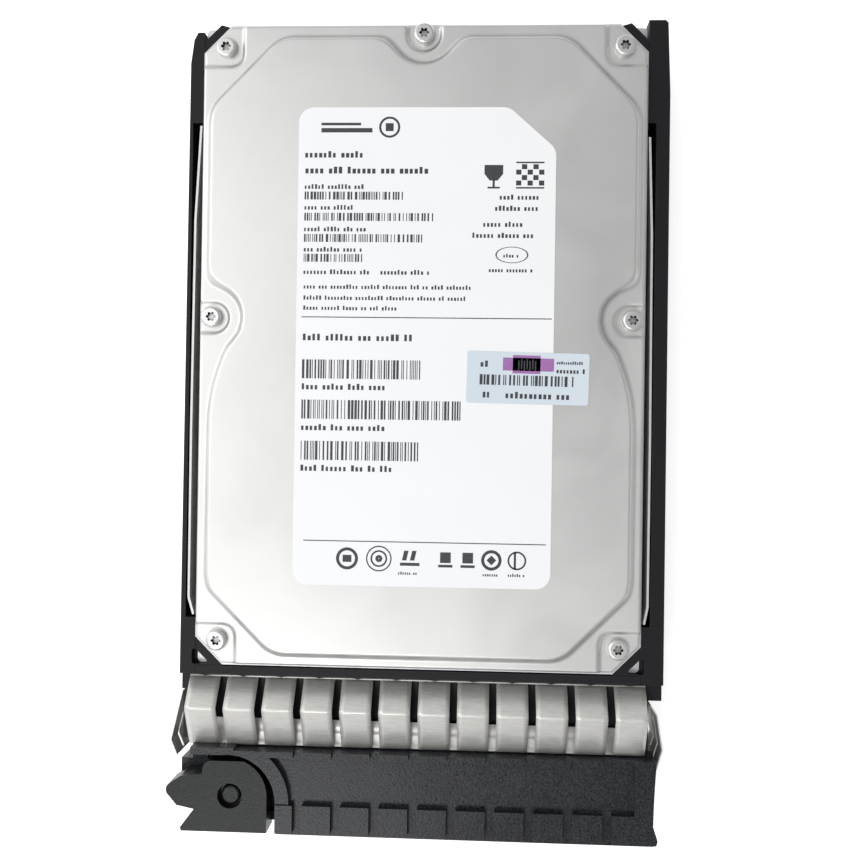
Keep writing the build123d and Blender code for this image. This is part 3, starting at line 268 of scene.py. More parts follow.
def printed_ink(name, color):
    """Thermal print: not quite even, with pinholes."""
    g = Graph(name, color, INK_ROUGHNESS)
    holes = g.noise(0.00025, detail=2.0)
    g.color(g.mix(g.remap(holes, 0.62, 0.72, 0.0, 0.5), color, toned(color, 1.0, 0.25)))
    g.roughness(g.spread(holes, INK_ROUGHNESS - 0.05, INK_ROUGHNESS + 0.08))
    return g.material


def turned_metal(name, color, roughness):
    """A turned or machined surface with a fine tool grain and a faint haze."""
    g = Graph(name, color, roughness, metallic=1.0)
    grain = g.noise(0.0002, detail=2.0, vector=g.stretched((1.0, 1.0, 2.0)))
    haze = g.noise(0.009, detail=2.0)
    g.color(g.mix(g.spread(haze), toned(color, 0.93), color))
    g.roughness(g.spread(grain, roughness - 0.03, roughness + 0.05))
    g.normal(g.bump(grain, 0.12, 0.000005))
    return g.material


def circuit_board(name):
    """Green solder mask over copper tracks, which run along X in some regions and along Y in others."""
    g = Graph(name, (0.02, 0.13, 0.07), 0.32, Coat_Weight=0.4, Coat_Roughness=0.15)
    along = g.waves(260.0, 2.2, 0.6, "X")
    across = g.waves(210.0, 2.6, 0.5, "Y")
    region = g.remap(g.noise(0.016, detail=0.0), 0.46, 0.5)
    first = g.math("MULTIPLY", along, region)
    second = g.math("MULTIPLY", across, g.math("SUBTRACT", 1.0, region))
    tracks = g.remap(g.math("ADD", first, second), 0.55, 0.62)
    masked = g.mix(tracks, (0.012, 0.085, 0.045), (0.03, 0.2, 0.1))
    holes = g.remap(g.cells(0.0034), 0.1, 0.13, 1.0, 0.0)
    g.color(g.mix(holes, masked, (0.72, 0.66, 0.45)))
    g.links.new(g.math("MULTIPLY", holes, 0.9), g.shader.inputs["Metallic"])
    g.normal(g.bump(g.math("ADD", tracks, holes), 0.5, 0.00004))
    return g.material


def fibre_felt(name):
    """A matted white filter felt."""
    g = Graph(name, (0.8, 0.8, 0.76), 0.9, Sheen_Weight=0.3)
    fibre = g.noise(0.0004, detail=6.0, roughness=0.8, distortion=1.2)
    g.color(g.mix(g.spread(fibre), (0.62, 0.62, 0.58), (0.88, 0.88, 0.84)))
    g.normal(g.bump(fibre, 0.8, 0.0001))
    return g.material


def polished_disc(name):
    """A disc's mirror finish with the faintest haze."""
    g = Graph(name, (0.82, 0.82, 0.84), 0.06, metallic=1.0)
    haze = g.noise(0.02, detail=3.0)
    g.color(g.mix(g.spread(haze), (0.78, 0.78, 0.8), (0.86, 0.86, 0.88)))
    g.roughness(g.spread(haze, 0.04, 0.1))
    return g.material


def wound_copper(name):
    """Enamelled wire in level turns."""
    g = Graph(name, (0.72, 0.33, 0.14), 0.34, metallic=1.0)
    turns = g.waves(1400.0, 0.8, 1.0, "Z")
    g.color(g.mix(turns, (0.5, 0.2, 0.07), (0.85, 0.42, 0.2)))
    g.normal(g.bump(turns, 0.6, 0.00008))
    return g.material


def clear_acrylic(name):
    """The light pipes' clear plastic."""
    g = Graph(name, (0.86, 0.9, 0.9), 0.12, Transmission_Weight=0.7, IOR=1.49)
    flow = g.noise(0.003, detail=2.0)
    g.roughness(g.spread(flow, 0.08, 0.2))
    return g.material


def pressed_aluminium(name):
    """The cover's satin sheet: fine matt grain, faint rolling streaks, soft handling marks."""
    g = Graph(name, (0.6, 0.6, 0.59), 0.4, metallic=1.0)
    grain = g.noise(0.00018, detail=3.0, roughness=0.7)
    rolling = g.noise(0.0006, detail=3.0, vector=g.stretched((1.0, 0.05, 1.0)))
    marks = g.noise(0.03, detail=5.0, roughness=0.5, distortion=0.8)
    scuffs = g.remap(g.noise(0.0022, detail=6.0, roughness=0.75, distortion=2.0), 0.66, 0.74)
    tone = g.mix(g.spread(marks), (0.565, 0.563, 0.552), (0.63, 0.627, 0.615))
    g.color(g.mix(g.math("MULTIPLY", scuffs, 0.12), tone, (0.42, 0.41, 0.39)))
    rough = g.math("ADD", g.spread(marks, 0.36, 0.46), g.spread(grain, -0.04, 0.06))
    g.roughness(g.math("ADD", rough, g.math("MULTIPLY", scuffs, 0.06)))
    fine = g.bump(grain, 0.25, 0.00001)
    g.normal(g.bump(rolling, 0.12, 0.00001, fine))
    return g.material


def grey(value):
    return value, value, value


# One material for each slot of the record. Sizes, grain, streak and depth are in metres.
MATERIALS = {
    "casting": cast_metal("cast_aluminium", (0.6, 0.61, 0.62), 0.48),
    "cover_metal": pressed_aluminium("pressed_cover"),
    "gasket_rubber": grain_plastic(
        "gasket_rubber", grey(0.012), grey(0.03), 0.8, grain=0.0004, depth=0.00003),
    "screw_steel": brushed_metal(
        "zinc_screw", (0.62, 0.62, 0.605), 0.27, streak=0.0003, axis_scale=(1.0, 1.0, 0.4), wear=0.5,
        paint_hollow_shade=True),
    "label_print": coated_paper("label_paper", (0.83, 0.83, 0.835), (0.805, 0.81, 0.82)),
    "sticker_print": coated_paper("sticker_paper", (0.6, 0.66, 0.71), (0.56, 0.63, 0.69)),
    "disc_surface": polished_disc("polished_disc"),
    "turned_steel": turned_metal("turned_steel", grey(0.6), 0.3),
    "bearing_brass": turned_metal("bearing_brass", (0.78, 0.6, 0.3), 0.3),
    "magnet_nickel": turned_metal("nickel_plate", (0.68, 0.66, 0.62), 0.25),
    "coil_copper": wound_copper("wound_copper"),
    "arm_aluminium": turned_metal("milled_aluminium", (0.78, 0.79, 0.8), 0.33),
    "flex_film": grain_plastic(
        "polyimide", (0.55, 0.24, 0.04), (0.7, 0.34, 0.07), 0.3, grain=0.0008, depth=0.00001),
    "filter_fibre": fibre_felt("filter_felt"),
    "board_green": circuit_board("circuit_board"),
    "chip_black": grain_plastic(
        "chip_resin", grey(0.02), grey(0.035), 0.55, grain=0.0003, depth=0.00001),
    "pad_foam": grain_plastic(
        "foam", (0.05, 0.05, 0.055), (0.1, 0.1, 0.11), 0.95, grain=0.0007, depth=0.0001),
    "plug_plastic": grain_plastic(
        "plug_plastic", (0.012, 0.012, 0.014), (0.022, 0.022, 0.025), 0.4, grain=0.0004, depth=0.00001),
    "contact_gold": turned_metal("contact_gold", (0.9, 0.66, 0.26), 0.22),
    "carrier_plastic": grain_plastic(
        "carrier_plastic", (0.0022, 0.0022, 0.003), (0.007, 0.007, 0.0095), 0.5, grain=0.0004,
        depth=0.000015, worn=0.7, sheen=0.26),
    "shield_steel": brushed_metal(
        "shield_steel", (0.62, 0.61, 0.58), 0.4, streak=0.0004, axis_scale=(0.15, 1.0, 1.0),
        metallic=0.55),
    "bezel_plastic": grain_plastic(
        "bezel_plastic", (0.0008, 0.001, 0.0016), (0.04, 0.043, 0.05), 0.3, grain=0.00042, depth=0.00004,
        worn=0.12, sheen=0.27),
    "lever_plastic": grain_plastic(
        "lever_plastic", (0.004, 0.0045, 0.005), (0.015, 0.017, 0.018), 0.34, grain=0.0004, depth=0.00004,
        worn=0.12, sheen=0.24),
    "button_plastic": grain_plastic(
        "button_plastic", (0.16, 0.012, 0.035), (0.21, 0.02, 0.05), 0.36, grain=0.0005, depth=0.00001),
    "clear_acrylic": clear_acrylic("clear_acrylic"),
}
SLOT_OF = {row["node"]: row["material_slot"] for row in frame["record"]["subparts"]}


def dress(obj, slot):
    """Gives a piece the material of one of the record's slots."""
    obj.data.materials.clear()
    obj.data.materials.append(MATERIALS[slot])


for node_name, node in NODES.items():
    dress(node, SLOT_OF[node_name])


# ------------------------------------------------------------------------------------------
# Moulded and cast parts from CAD keep their shape and lose their knife edges
# ------------------------------------------------------------------------------------------
SOFT_SEGMENTS = 2
SOFT_ABOVE = math.radians(40)  # an edge that turns by less stays as it is
SOFT_WIDTH = {
    "front_bezel": 0.22, "ejector_lever": 0.22, "left_rail": 0.2, "right_rail": 0.2, "cross_member": 0.15,
    "release_button": 0.15, "base_casting": 0.2, "sata_connector": 0.1,
}


def soften(node_name, width):
    """Rounds a node's sharp edges by a small width."""
    bevel = NODES[node_name].modifiers.new("soft_edges", "BEVEL")
    bevel.width = width
    bevel.segments = SOFT_SEGMENTS
    bevel.limit_method = "ANGLE"
    bevel.angle_limit = SOFT_ABOVE
    bevel.harden_normals = False


for softened, soft_width in SOFT_WIDTH.items():
    soften(softened, soft_width * MM)


# ------------------------------------------------------------------------------------------
# Pieces made here
# ------------------------------------------------------------------------------------------
def finish_piece(obj, body, slot, *replaced):
    """Puts a new piece in the scene, on its body, in place of CAD nodes. The slot argument is not used.
    """
    bpy.context.scene.collection.objects.link(obj)
    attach(obj, body)
    if replaced:
        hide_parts(*replaced)


def mesh_object(name, vertices, faces, smooth=True):
    """An object with a mesh of these points and faces, in no collection yet."""
    mesh = bpy.data.meshes.new(name)
    mesh.from_pydata([tuple(v) for v in vertices], [], faces)
    mesh.update()
    if smooth:
        mesh.shade_smooth()
    return bpy.data.objects.new(name, mesh)


def soft_min(a, b, k):
    """The smaller of two fields, blended over a width k, which rounds the corner where they meet."""
    h = np.clip(0.5 + 0.5 * (b - a) / k, 0.0, 1.0)
    return b * (1.0 - h) + a * h - k * h * (1.0 - h)


# ---- The pressed cover: one sheet whose height follows its embossing. All of it is in mm, about the
# drive's middle, until make_cover turns it into metres. ----
FINE = 0.25  # between the sheet's points near a crease
STEPS = 4  # fine cells in a coarse one
COARSE = FINE * STEPS
COVER_HALF_X = 50.5
COVER_HALF_Y = 73.0
COVER_CUT = 6.0  # cut off each corner, along both sides
DISC_EDGE = 48.8  # radius of the raised middle about the spindle
CREASE = 0.3  # half the width of a rounded crease
SHEET_EDGE_R = 0.5  # rounding of the sheet's rim
SKIRT_GAP = 0.6  # between the folded rim and the casting
SHARP_ABOVE = math.radians(50)

# The raised middle's outline: straight sides, two waists and a rear notch, and how wide their blends are.
PLATEAU_SLOPE = 1.0
PLATEAU_SIDE_X = DISC_EDGE + 0.4
PLATEAU_REAR_Y, PLATEAU_FRONT_Y = 70.5, -71.0
REAR_CORNER = ((48.8, 54.3), (33.0, 70.5))
FRONT_CORNER = ((33.0, -71.0), (48.8, -55.2))
WAIST_X, WAIST_Y, WAIST_R = 47.8, 6.2, 6.6
DISC_END_Y = 2.0  # the disc's arc shapes the outline only in front of this
NOTCH_Y, NOTCH_R = 71.5, 7.0
END_BLEND, CORNER_BLEND, WAIST_BLEND, DISC_BLEND, NOTCH_BLEND = 2.0, 2.5, 4.5, 1.6, 4.0

# The screw pockets, sunk below the flange that runs round the raised middle.
FLANGE_DROP = 1.5
POCKET_DROP = 2.1
POCKET_SLOPE = 0.6
POCKET_CORNER_X, POCKET_REAR_Y, POCKET_FRONT_Y, POCKET_BLEND = 41.0, 63.3, -63.6, 3.4
POCKET_SIDE_X, POCKET_SIDE_Y, POCKET_SIDE_R = 47.3, 6.0, 3.8
POCKET_MIDDLE_Y, POCKET_MIDDLE_R = 70.85, 4.15

# Pressed sheet is never quite flat: a long and a short wave, lowered to stay under the highest plane.
LONG_WAVE, SHORT_WAVE, WAVE_DROP = 0.035, 0.02, 0.056
RIM_STEEPNESS = 0.95  # at 1 the rounded rim would end upright


def half_plane(x, y, a, b):
    """Signed distance from the line through a and b, positive on its left."""
    ux, uy = b[0] - a[0], b[1] - a[1]
    return (ux * (y - a[1]) - uy * (x - a[0])) / math.hypot(ux, uy)


def plateau_depth(x, y):
    """Distance inside the raised middle's outline, in mm, negative outside."""
    ax = np.abs(x)
    d = PLATEAU_SIDE_X - ax
    d = soft_min(d, PLATEAU_REAR_Y - y, END_BLEND)
    d = soft_min(d, y - PLATEAU_FRONT_Y, END_BLEND)
    d = soft_min(d, half_plane(ax, y, *REAR_CORNER), CORNER_BLEND)
    d = soft_min(d, half_plane(ax, y, *FRONT_CORNER), CORNER_BLEND)
    d = soft_min(d, np.hypot(ax - WAIST_X, y - WAIST_Y) - WAIST_R, WAIST_BLEND)
    beyond_disc = np.hypot(ax, np.maximum(y - SPINDLE_Y / MM, 0.0)) - DISC_EDGE
    d = soft_min(d, -np.minimum(beyond_disc, DISC_END_Y - y), DISC_BLEND)
    return soft_min(d, np.hypot(x, y - NOTCH_Y) - NOTCH_R, NOTCH_BLEND)


def pocket_depth(x, y):
    """Distance inside the nearest screw pocket, in mm, negative outside."""
    ax = np.abs(x)
    rear = soft_min(ax - POCKET_CORNER_X, y - POCKET_REAR_Y, POCKET_BLEND)
    front = soft_min(ax - POCKET_CORNER_X, POCKET_FRONT_Y - y, POCKET_BLEND)
    side = POCKET_SIDE_R - np.hypot(np.minimum(ax - POCKET_SIDE_X, 0.0), y - POCKET_SIDE_Y)
    middle = POCKET_MIDDLE_R - np.hypot(x, np.minimum(y - POCKET_MIDDLE_Y, 0.0))
    return np.maximum(np.maximum(rear, front), np.maximum(side, middle))


def ramp(depth, width):
    """A straight slope from 0 to 1 over a width, with its two creases rounded."""
    def rounded(d):
        return np.where(d > CREASE, d, np.where(d < -CREASE, 0.0, (d + CREASE) ** 2 / (4.0 * CREASE)))
    return (rounded(depth) - rounded(depth - width)) / width


def rim_depth(x, y):
    """Distance inside the sheet's outer edge, in mm."""
    cut = (COVER_HALF_X + COVER_HALF_Y - COVER_CUT - np.abs(x) - np.abs(y)) / math.sqrt(2)
    return np.minimum(np.minimum(COVER_HALF_X - np.abs(x), COVER_HALF_Y - np.abs(y)), cut)


def cover_height(x, y):
    """Height of the cover's upper face from its highest plane, in mm."""
    raised = ramp(plateau_depth(x, y), PLATEAU_SLOPE)
    pocket = ramp(pocket_depth(x, y), POCKET_SLOPE)
    height = -FLANGE_DROP * (1.0 - raised) * (1.0 - pocket) - POCKET_DROP * pocket
    wave = LONG_WAVE * np.sin(x / 17.0 + 0.6) * np.cos(y / 23.0) + SHORT_WAVE * np.sin((x + y) / 11.0)
    inside = np.clip(1.0 - rim_depth(x, y) / SHEET_EDGE_R, 0.0, 1.0)
    edge = SHEET_EDGE_R * (1.0 - np.sqrt(1.0 - RIM_STEEPNESS * inside ** 2))
    return height + (wave - WAVE_DROP) * raised - edge


def near_crease(x, y):
    """Whether a coarse cell about (x, y) needs fine points."""
    reach = CREASE + COARSE * 0.9
    plateau, pocket = plateau_depth(x, y), pocket_depth(x, y)
    on_plateau_edge = (plateau > -reach) & (plateau < PLATEAU_SLOPE + reach)
    on_pocket_edge = (pocket > -reach) & (pocket < POCKET_SLOPE + reach)
    return on_plateau_edge | on_pocket_edge | (rim_depth(x, y) < SHEET_EDGE_R + reach)


def sheet_cells():
    """The sheet's cells as rings of points, counted in fine steps from its left front corner."""
    nx, ny = round(2 * COVER_HALF_X / COARSE), round(2 * COVER_HALF_Y / COARSE)
    cx, cy = np.meshgrid(np.arange(nx) + 0.5, np.arange(ny) + 0.5, indexing="ij")
    fine = near_crease(cx * COARSE - COVER_HALF_X, cy * COARSE - COVER_HALF_Y)

    def is_fine(i, j):
        return 0 <= i < nx and 0 <= j < ny and fine[i, j]

    for i in range(nx):
        for j in range(ny):
            x, y = i * STEPS, j * STEPS
            if fine[i, j]:
                for a in range(x, x + STEPS):
                    for b in range(y, y + STEPS):
                        yield [(a, b), (a + 1, b), (a + 1, b + 1), (a, b + 1)]
                continue
            # A coarse cell takes the fine points on each side that it shares with a fine cell.
            ring = []
            for start, step, beside in (
                ((x, y), (1, 0), (i, j - 1)), ((x + STEPS, y), (0, 1), (i + 1, j)),
                ((x + STEPS, y + STEPS), (-1, 0), (i, j + 1)), ((x, y + STEPS), (0, -1), (i - 1, j)),
            ):
                count = STEPS if is_fine(*beside) else 1
                ring += [(start[0] + step[0] * k, start[1] + step[1] * k) for k in range(count)]
            yield ring


def make_cover():
    """The embossed sheet, with its rim turned down and closed below."""
    limit = round((COVER_HALF_X + COVER_HALF_Y - COVER_CUT) / FINE)
    half = (round(COVER_HALF_X / FINE), round(COVER_HALF_Y / FINE))
    index, faces = {}, []
    for ring in sheet_cells():
        kept = [p for p in ring if abs(p[0] - half[0]) + abs(p[1] - half[1]) <= limit]
        if len(kept) > 2:
            faces.append([index.setdefault(p, len(index)) for p in kept])
    places = np.array(list(index), float) * FINE - np.array([COVER_HALF_X, COVER_HALF_Y])
    x, y = places[:, 0], places[:, 1]
    points = np.stack([x * MM + DRIVE_X, y * MM + DRIVE_Y, cover_height(x, y) * MM + COVER_HIGH.z], 1)
    cover = mesh_object("cover_sheet", points, faces)
    shell = bmesh.new()
    shell.from_mesh(cover.data)
    rim = [edge for edge in shell.edges if edge.is_boundary]
    skirt = bmesh.ops.extrude_edge_only(shell, edges=rim)["geom"]
    for v in skirt:
        if isinstance(v, bmesh.types.BMVert):
            v.co.z = CASTING_HIGH.z + SKIRT_GAP * MM
    low_edges = [e for e in skirt if isinstance(e, bmesh.types.BMEdge)]
    bmesh.ops.contextual_create(shell, geom=low_edges)
    bmesh.ops.recalc_face_normals(shell, faces=shell.faces)
    for edge in shell.edges:
        edge.smooth = not edge.is_manifold or edge.calc_face_angle(0.0) < SHARP_ABOVE
    shell.to_mesh(cover.data)
    shell.free()
    dress(cover, "cover_metal")
    finish_piece(cover, BODY, "cover_metal", "top_cover")


make_cover()

# ---- Print on the two labels: thin raised ink, in one mesh for each colour of each label ----
INK = 0.012  # mm, how far the print stands up
RING_PARTS = 30
STICKER_TURN = -1.0  # degrees
STICKER_SECOND_INK = 0.014  # mm, where the black print lies over the purple
BAR_WIDTHS, BAR_SHARE = (1, 1, 1, 2, 2, 3), 0.72  # in modules, and the share of them that is ink
GAP_WIDTHS, GAP_SHARE = (1, 1, 2, 3), 0.75
DASH_PITCH, DASH_HEIGHTS = 0.62, (0.62, 0.62, 0.62, 0.86)  # as shares of a row's size
DASH_THIN, DASH_VARIES, GROUP_GAP = 0.32, 0.16, 0.8  # as shares of the pitch
random.seed(7)


class Ink:
    """Collects small printed blocks, in mm about an origin, into one mesh."""

    def __init__(self, name, material, slot, origin, height, turn=0.0):
        self.name, self.material, self.slot = name, material, slot
        self.origin, self.height, self.turn = origin, height, math.radians(turn)
        self.points, self.faces = [], []

    def shape(self, outline):
        """A filled convex outline with a thin edge and a closed back."""
        base, count = len(self.points), len(outline)
        cos, sin = math.cos(self.turn), math.sin(self.turn)
        for lift in (INK, 0.0):
            for x, y in outline:
                at_x = self.origin[0] + (x * cos - y * sin)
                at_y = self.origin[1] + (x * sin + y * cos)
                self.points.append((at_x * MM, at_y * MM, self.height + lift * MM))
        self.faces.append(list(range(base, base + count)))
        self.faces.append(list(range(base + 2 * count - 1, base + count - 1, -1)))
        for k in range(count):
            n = (k + 1) % count
            self.faces.append([base + n, base + k, base + count + k, base + count + n])

    def block(self, x, y, width, height, lean=0.0):
        """A rectangle from its lower left corner, its top pushed sideways by lean."""
        self.shape([(x, y), (x + width, y), (x + width + lean, y + height), (x + lean, y + height)])

    def bars(self, x0, x1, y0, y1, module=0.26):
        """A row of upright bars of uneven widths, which say nothing."""
        x = x0
        while x < x1 - 3 * module:
            width = module * random.choice(BAR_WIDTHS) * BAR_SHARE
            self.block(x, y0, width, y1 - y0)
            x += width + module * random.choice(GAP_WIDTHS) * GAP_SHARE
        self.block(x1 - module, y0, module, y1 - y0)

    def row(self, x0, x1, y, size, weight=0.2, words=(3, 8)):
        """A row of solid dashes in groups, where the real label has words. No dash is a letter."""
        x = x0
        pitch = size * DASH_PITCH
        while x < x1 - pitch:
            for _ in range(random.randint(*words)):
                if x > x1 - pitch:
                    break
                tall = size * random.choice(DASH_HEIGHTS)
                self.block(x, y, pitch * (DASH_THIN + weight + random.uniform(0.0, DASH_VARIES)), tall)
                x += pitch
            x += pitch * GROUP_GAP

    def ring(self, x, y, outer, inner, squash=1.0):
        """A ring made of short blocks, flattened by squash."""
        for k in range(RING_PARTS):
            a, b = (math.radians(360 * t / RING_PARTS) for t in (k, k + 1))
            self.shape([
                (x + radius * math.cos(angle), y + squash * radius * math.sin(angle))
                for radius, angle in ((inner, a), (outer, a), (outer, b), (inner, b))
            ])

    def make(self):
        piece = mesh_object(self.name, self.points, self.faces, smooth=False)
        piece.data.materials.append(self.material)
        finish_piece(piece, BODY, self.slot)


BLACK_INK = printed_ink("black_ink", (0.03, 0.032, 0.04))
PURPLE_INK = printed_ink("purple_ink", (0.32, 0.13, 0.36))
DRIVE_MIDDLE = (DRIVE_X / MM, DRIVE_Y / MM)


def print_main_label():
    """The main label's print, in mm about the drive's middle."""
    ink = Ink("label_ink", BLACK_INK, "label_print", DRIVE_MIDDLE, LABEL_HIGH.z)
    # Heading: two plain bars, and a square in a ring.
    ink.block(-22.9, 48.0, 11.6, 1.0)
    ink.block(-22.9, 49.6, 9.0, 0.6)
    ink.ring(-7.4, 49.2, 2.4, 1.9)
    ink.block(-8.3, 48.3, 1.8, 1.8)
    # Left column: rows of dashes and rows of bars, with a rule across the label.
    ink.row(-26.5, -12.6, 42.3, 1.7, weight=0.24, words=(5, 9))
    ink.row(-26.4, 2.6, 38.7, 1.8, weight=0.26, words=(3, 6))
    for y, end in ((35.2, -12.8), (30.5, -15.0), (25.6, -11.6), (21.0, -13.0)):
        ink.row(-26.5, end, y, 1.25, weight=0.18)
    for y0, y1, end in ((32.8, 34.6, -4.2), (28.0, 29.8, 2.7), (23.2, 25.0, 0.3), (18.7, 20.5, -13.2)):
        ink.bars(-26.5, end, y0, y1)
    for start, end in ((-26.5, -11.0), (-9.0, 3.0)):
        ink.row(start, end, 15.9, 1.25, weight=0.18)
    for y, end in ((12.6, 12.0), (10.1, 11.0), (7.8, -4.5)):
        ink.row(-26.4, end, y, 1.15, weight=0.17, words=(2, 9))
    ink.block(-26.8, 6.1, 56.4, 0.22)
    ink.row(-26.4, -1.2, 0.9, 1.75, weight=0.2, words=(3, 6))
    for y0, y1, end in ((-7.7, -3.4, 0.3), (-16.8, -12.5, 9.5), (-26.1, -21.8, 0.1)):
        ink.bars(-26.5, end, y0, y1)
    for y, end in ((-10.2, -6.0), (-19.4, -6.4), (-28.6, -5.0)):
        ink.row(-26.5, end, y, 1.6, weight=0.2, words=(2, 6))
    ink.block(-25.6, -44.4, 54.6, 0.22)
    # Right column: a stemmed-glass sign, a checked patch between two rules, and short rows.
    ink.block(14.1, 38.7, 4.2, 2.0)
    ink.shape([(14.1, 38.7), (15.3, 37.2), (17.1, 37.2), (18.3, 38.7)])
    ink.block(15.95, 35.8, 0.5, 1.5)
    ink.block(14.8, 35.4, 2.8, 0.4)
    for y in (35.4, 41.1):
        ink.block(21.2, y, 6.3, 0.35)
    for column in range(5):
        for line in range(4):
            if (column + line) % 2 == 0:
                ink.block(21.2 + column * 1.28, 36.1 + line * 1.22, 1.18, 1.12)
    for y, start, end in ((32.9, 17.6, 27.4), (30.4, 16.6, 27.2), (26.8, 14.0, 23.6), (24.3, 11.6, 26.2)):
        ink.row(start, end, y, 1.35, weight=0.19, words=(4, 8))
    ink.ring(20.5, 20.5, 3.7, 3.4, squash=0.5)
    ink.row(18.6, 22.6, 19.9, 1.0, words=(4, 4))
    ink.row(15.4, 25.6, 16.6, 1.1, words=(4, 8))
    # A row of small signs under a rule: rings, squares and leaning bars, none of them a real mark.
    ink.ring(-15.6, -48.2, 2.5, 1.8)
    ink.block(-16.6, -49.0, 2.0, 1.6)
    ink.ring(-8.4, -48.1, 2.9, 2.6)
    ink.ring(-8.4, -48.1, 1.9, 1.5)
    ink.ring(-8.4, -48.1, 0.8, 0.1)
    ink.block(-3.6, -49.6, 4.4, 0.7)
    for x in (-3.2, -1.4):
        ink.block(x, -48.4, 1.0, 2.2, lean=0.5)
    for x in (6.6, 11.6):
        ink.block(x - 1.6, -49.8, 3.2, 0.6)
        ink.block(x - 1.2, -48.8, 2.4, 2.4)
    ink.ring(16.9, -48.0, 2.3, 1.6)
    ink.shape([(16.9, -49.1), (18.0, -48.0), (16.9, -46.9), (15.8, -48.0)])
    ink.ring(22.6, -48.0, 2.1, 1.7)
    ink.block(21.9, -50.0, 0.5, 4.0)
    for x0, x1 in ((-4.0, 0.4), (15.0, 18.6), (20.6, 24.6)):
        ink.row(x0, x1, -51.6, 0.8)
    ink.make()


def print_sticker():
    """The small sticker's print, in mm about the sticker's middle."""
    middle = ((STICKER_LOW.x + STICKER_HIGH.x) / 2 / MM, (STICKER_LOW.y + STICKER_HIGH.y) / 2 / MM)
    top = STICKER_HIGH.z
    purple = Ink("sticker_band", PURPLE_INK, "sticker_print", middle, top, turn=STICKER_TURN)
    purple.block(-5.6, 1.6, 11.4, 2.9)
    purple.block(-3.4, 1.0, 6.2, 4.1)
    purple.make()
    over = top + STICKER_SECOND_INK * MM
    ink = Ink("sticker_ink", BLACK_INK, "sticker_print", middle, over, turn=STICKER_TURN)
    ink.row(-10.6, -7.4, 2.3, 1.6, words=(2, 2))
    for k in range(7):
        ink.block(-2.2 + k * 0.62, 1.7 + 0.3 * (k % 2), 0.3, 2.2)
    ink.row(6.4, 13.2, 1.3, 1.2, words=(7, 7))
    ink.row(6.4, 13.2, 3.3, 0.8, words=(9, 12))
    ink.bars(-10.7, 10.2, -1.7, 0.6, module=0.3)
    ink.row(-9.9, -6.4, -4.6, 1.5, words=(2, 2))
    ink.row(-4.8, 10.4, -4.6, 1.7, words=(10, 10))
    ink.make()


print_main_label()
print_sticker()

# ---- The upper shielding strip: sprung fingers folded like a low roof over a curled return ----
FINGERS_LOW, FINGERS_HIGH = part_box("emi_top_fingers")
FINGER_COUNT = 12
FINGER_SLOT = 1.7 * MM  # between two fingers
FINGER_T = 0.22 * MM
FINGER_CROWN = 0.06 * MM  # how far a finger's long edges curve down
RETURN_T = FINGER_T * 0.8
RIDGE_SHARE = 0.42  # of the way from the rear edge to the front one
ROOF_R, RETURN_R = 0.45 * MM, 0.4 * MM  # of the bends
BEND_SEGMENTS = 5
SHEET_COLUMNS = 6


def profile_curve(points, radius):
    """A (y, z) polyline with its corners rounded, each cut off a radius away from it."""
    out = [Vector(points[0])]
    for before, at, after in zip(points, points[1:], points[2:]):
        at = Vector(at)
        back, ahead = (Vector(before) - at).normalized(), (Vector(after) - at).normalized()
        for k in range(BEND_SEGMENTS + 1):
            t = k / BEND_SEGMENTS
            a, b = at + back * radius * (1 - t), at + ahead * radius * t
            out.append(a.lerp(b, t))
    out.append(Vector(points[-1]))
    return out


def add_shield_sheet(name, x0, x1, profile, thickness, crown=0.0):
    """A bent sheet between two x, along a (y, z) profile, dipping by crown at its sides."""
    bm = bmesh.new()
    rows = []
    for i in range(SHEET_COLUMNS + 1):
        x, dip = x0 + (x1 - x0) * i / SHEET_COLUMNS, crown * (2.0 * i / SHEET_COLUMNS - 1.0) ** 2
        rows.append([bm.verts.new((x, p[0], p[1] - dip)) for p in profile])
    for a, b in zip(rows, rows[1:]):
        for k in range(len(profile) - 1):
            bm.faces.new((a[k], b[k], b[k + 1], a[k + 1]))
    bmesh.ops.recalc_face_normals(bm, faces=bm.faces)
    mesh = bpy.data.meshes.new(name)
    bm.to_mesh(mesh)
    bm.free()
    mesh.shade_smooth()
    piece = bpy.data.objects.new(name, mesh)
    solid = piece.modifiers.new("gauge", "SOLIDIFY")
    solid.thickness = thickness
    solid.offset = 0.0
    dress(piece, "shield_steel")
    finish_piece(piece, BODY, "shield_steel", "emi_top_fingers")


def make_top_fingers():
    width = (FINGERS_HIGH.x - FINGERS_LOW.x + FINGER_SLOT) / FINGER_COUNT
    rear, front = FINGERS_HIGH.y - 0.1 * MM, FINGERS_LOW.y - 0.55 * MM
    ridge = rear + (front - rear) * RIDGE_SHARE
    top, low = FINGERS_HIGH.z - 0.25 * MM, FINGERS_LOW.z + 0.35 * MM
    front_edge = (front, low - 0.1 * MM)
    roof = profile_curve([
        (rear, low), (ridge, top), (front + 0.4 * MM, low + 0.35 * MM), front_edge,
    ], ROOF_R)
    for k in range(FINGER_COUNT):
        x0 = FINGERS_LOW.x + k * width
        x1 = x0 + width - FINGER_SLOT
        add_shield_sheet(f"shield_finger_{k + 1}", x0, x1, roof, FINGER_T, FINGER_CROWN)
    # The sheet stays whole along its rear edge, where the slots end.
    climb = (top - low) / (ridge - rear)
    hem = [(rear - 0.02 * MM, low), (rear - 0.4 * MM, low - climb * 0.4 * MM)]
    add_shield_sheet("shield_hem", FINGERS_LOW.x, FINGERS_HIGH.x, hem, FINGER_T)
    # Under the fingers, the strip comes back from their front edge and curls up.
    curl = profile_curve([
        front_edge, (front + 0.5 * MM, low - 0.3 * MM), (front + 3.0 * MM, low - 0.3 * MM),
        (front + 6.4 * MM, low + 0.9 * MM),
    ], RETURN_R)
    add_shield_sheet("shield_return", FINGERS_LOW.x, FINGERS_HIGH.x, curl, RETURN_T)


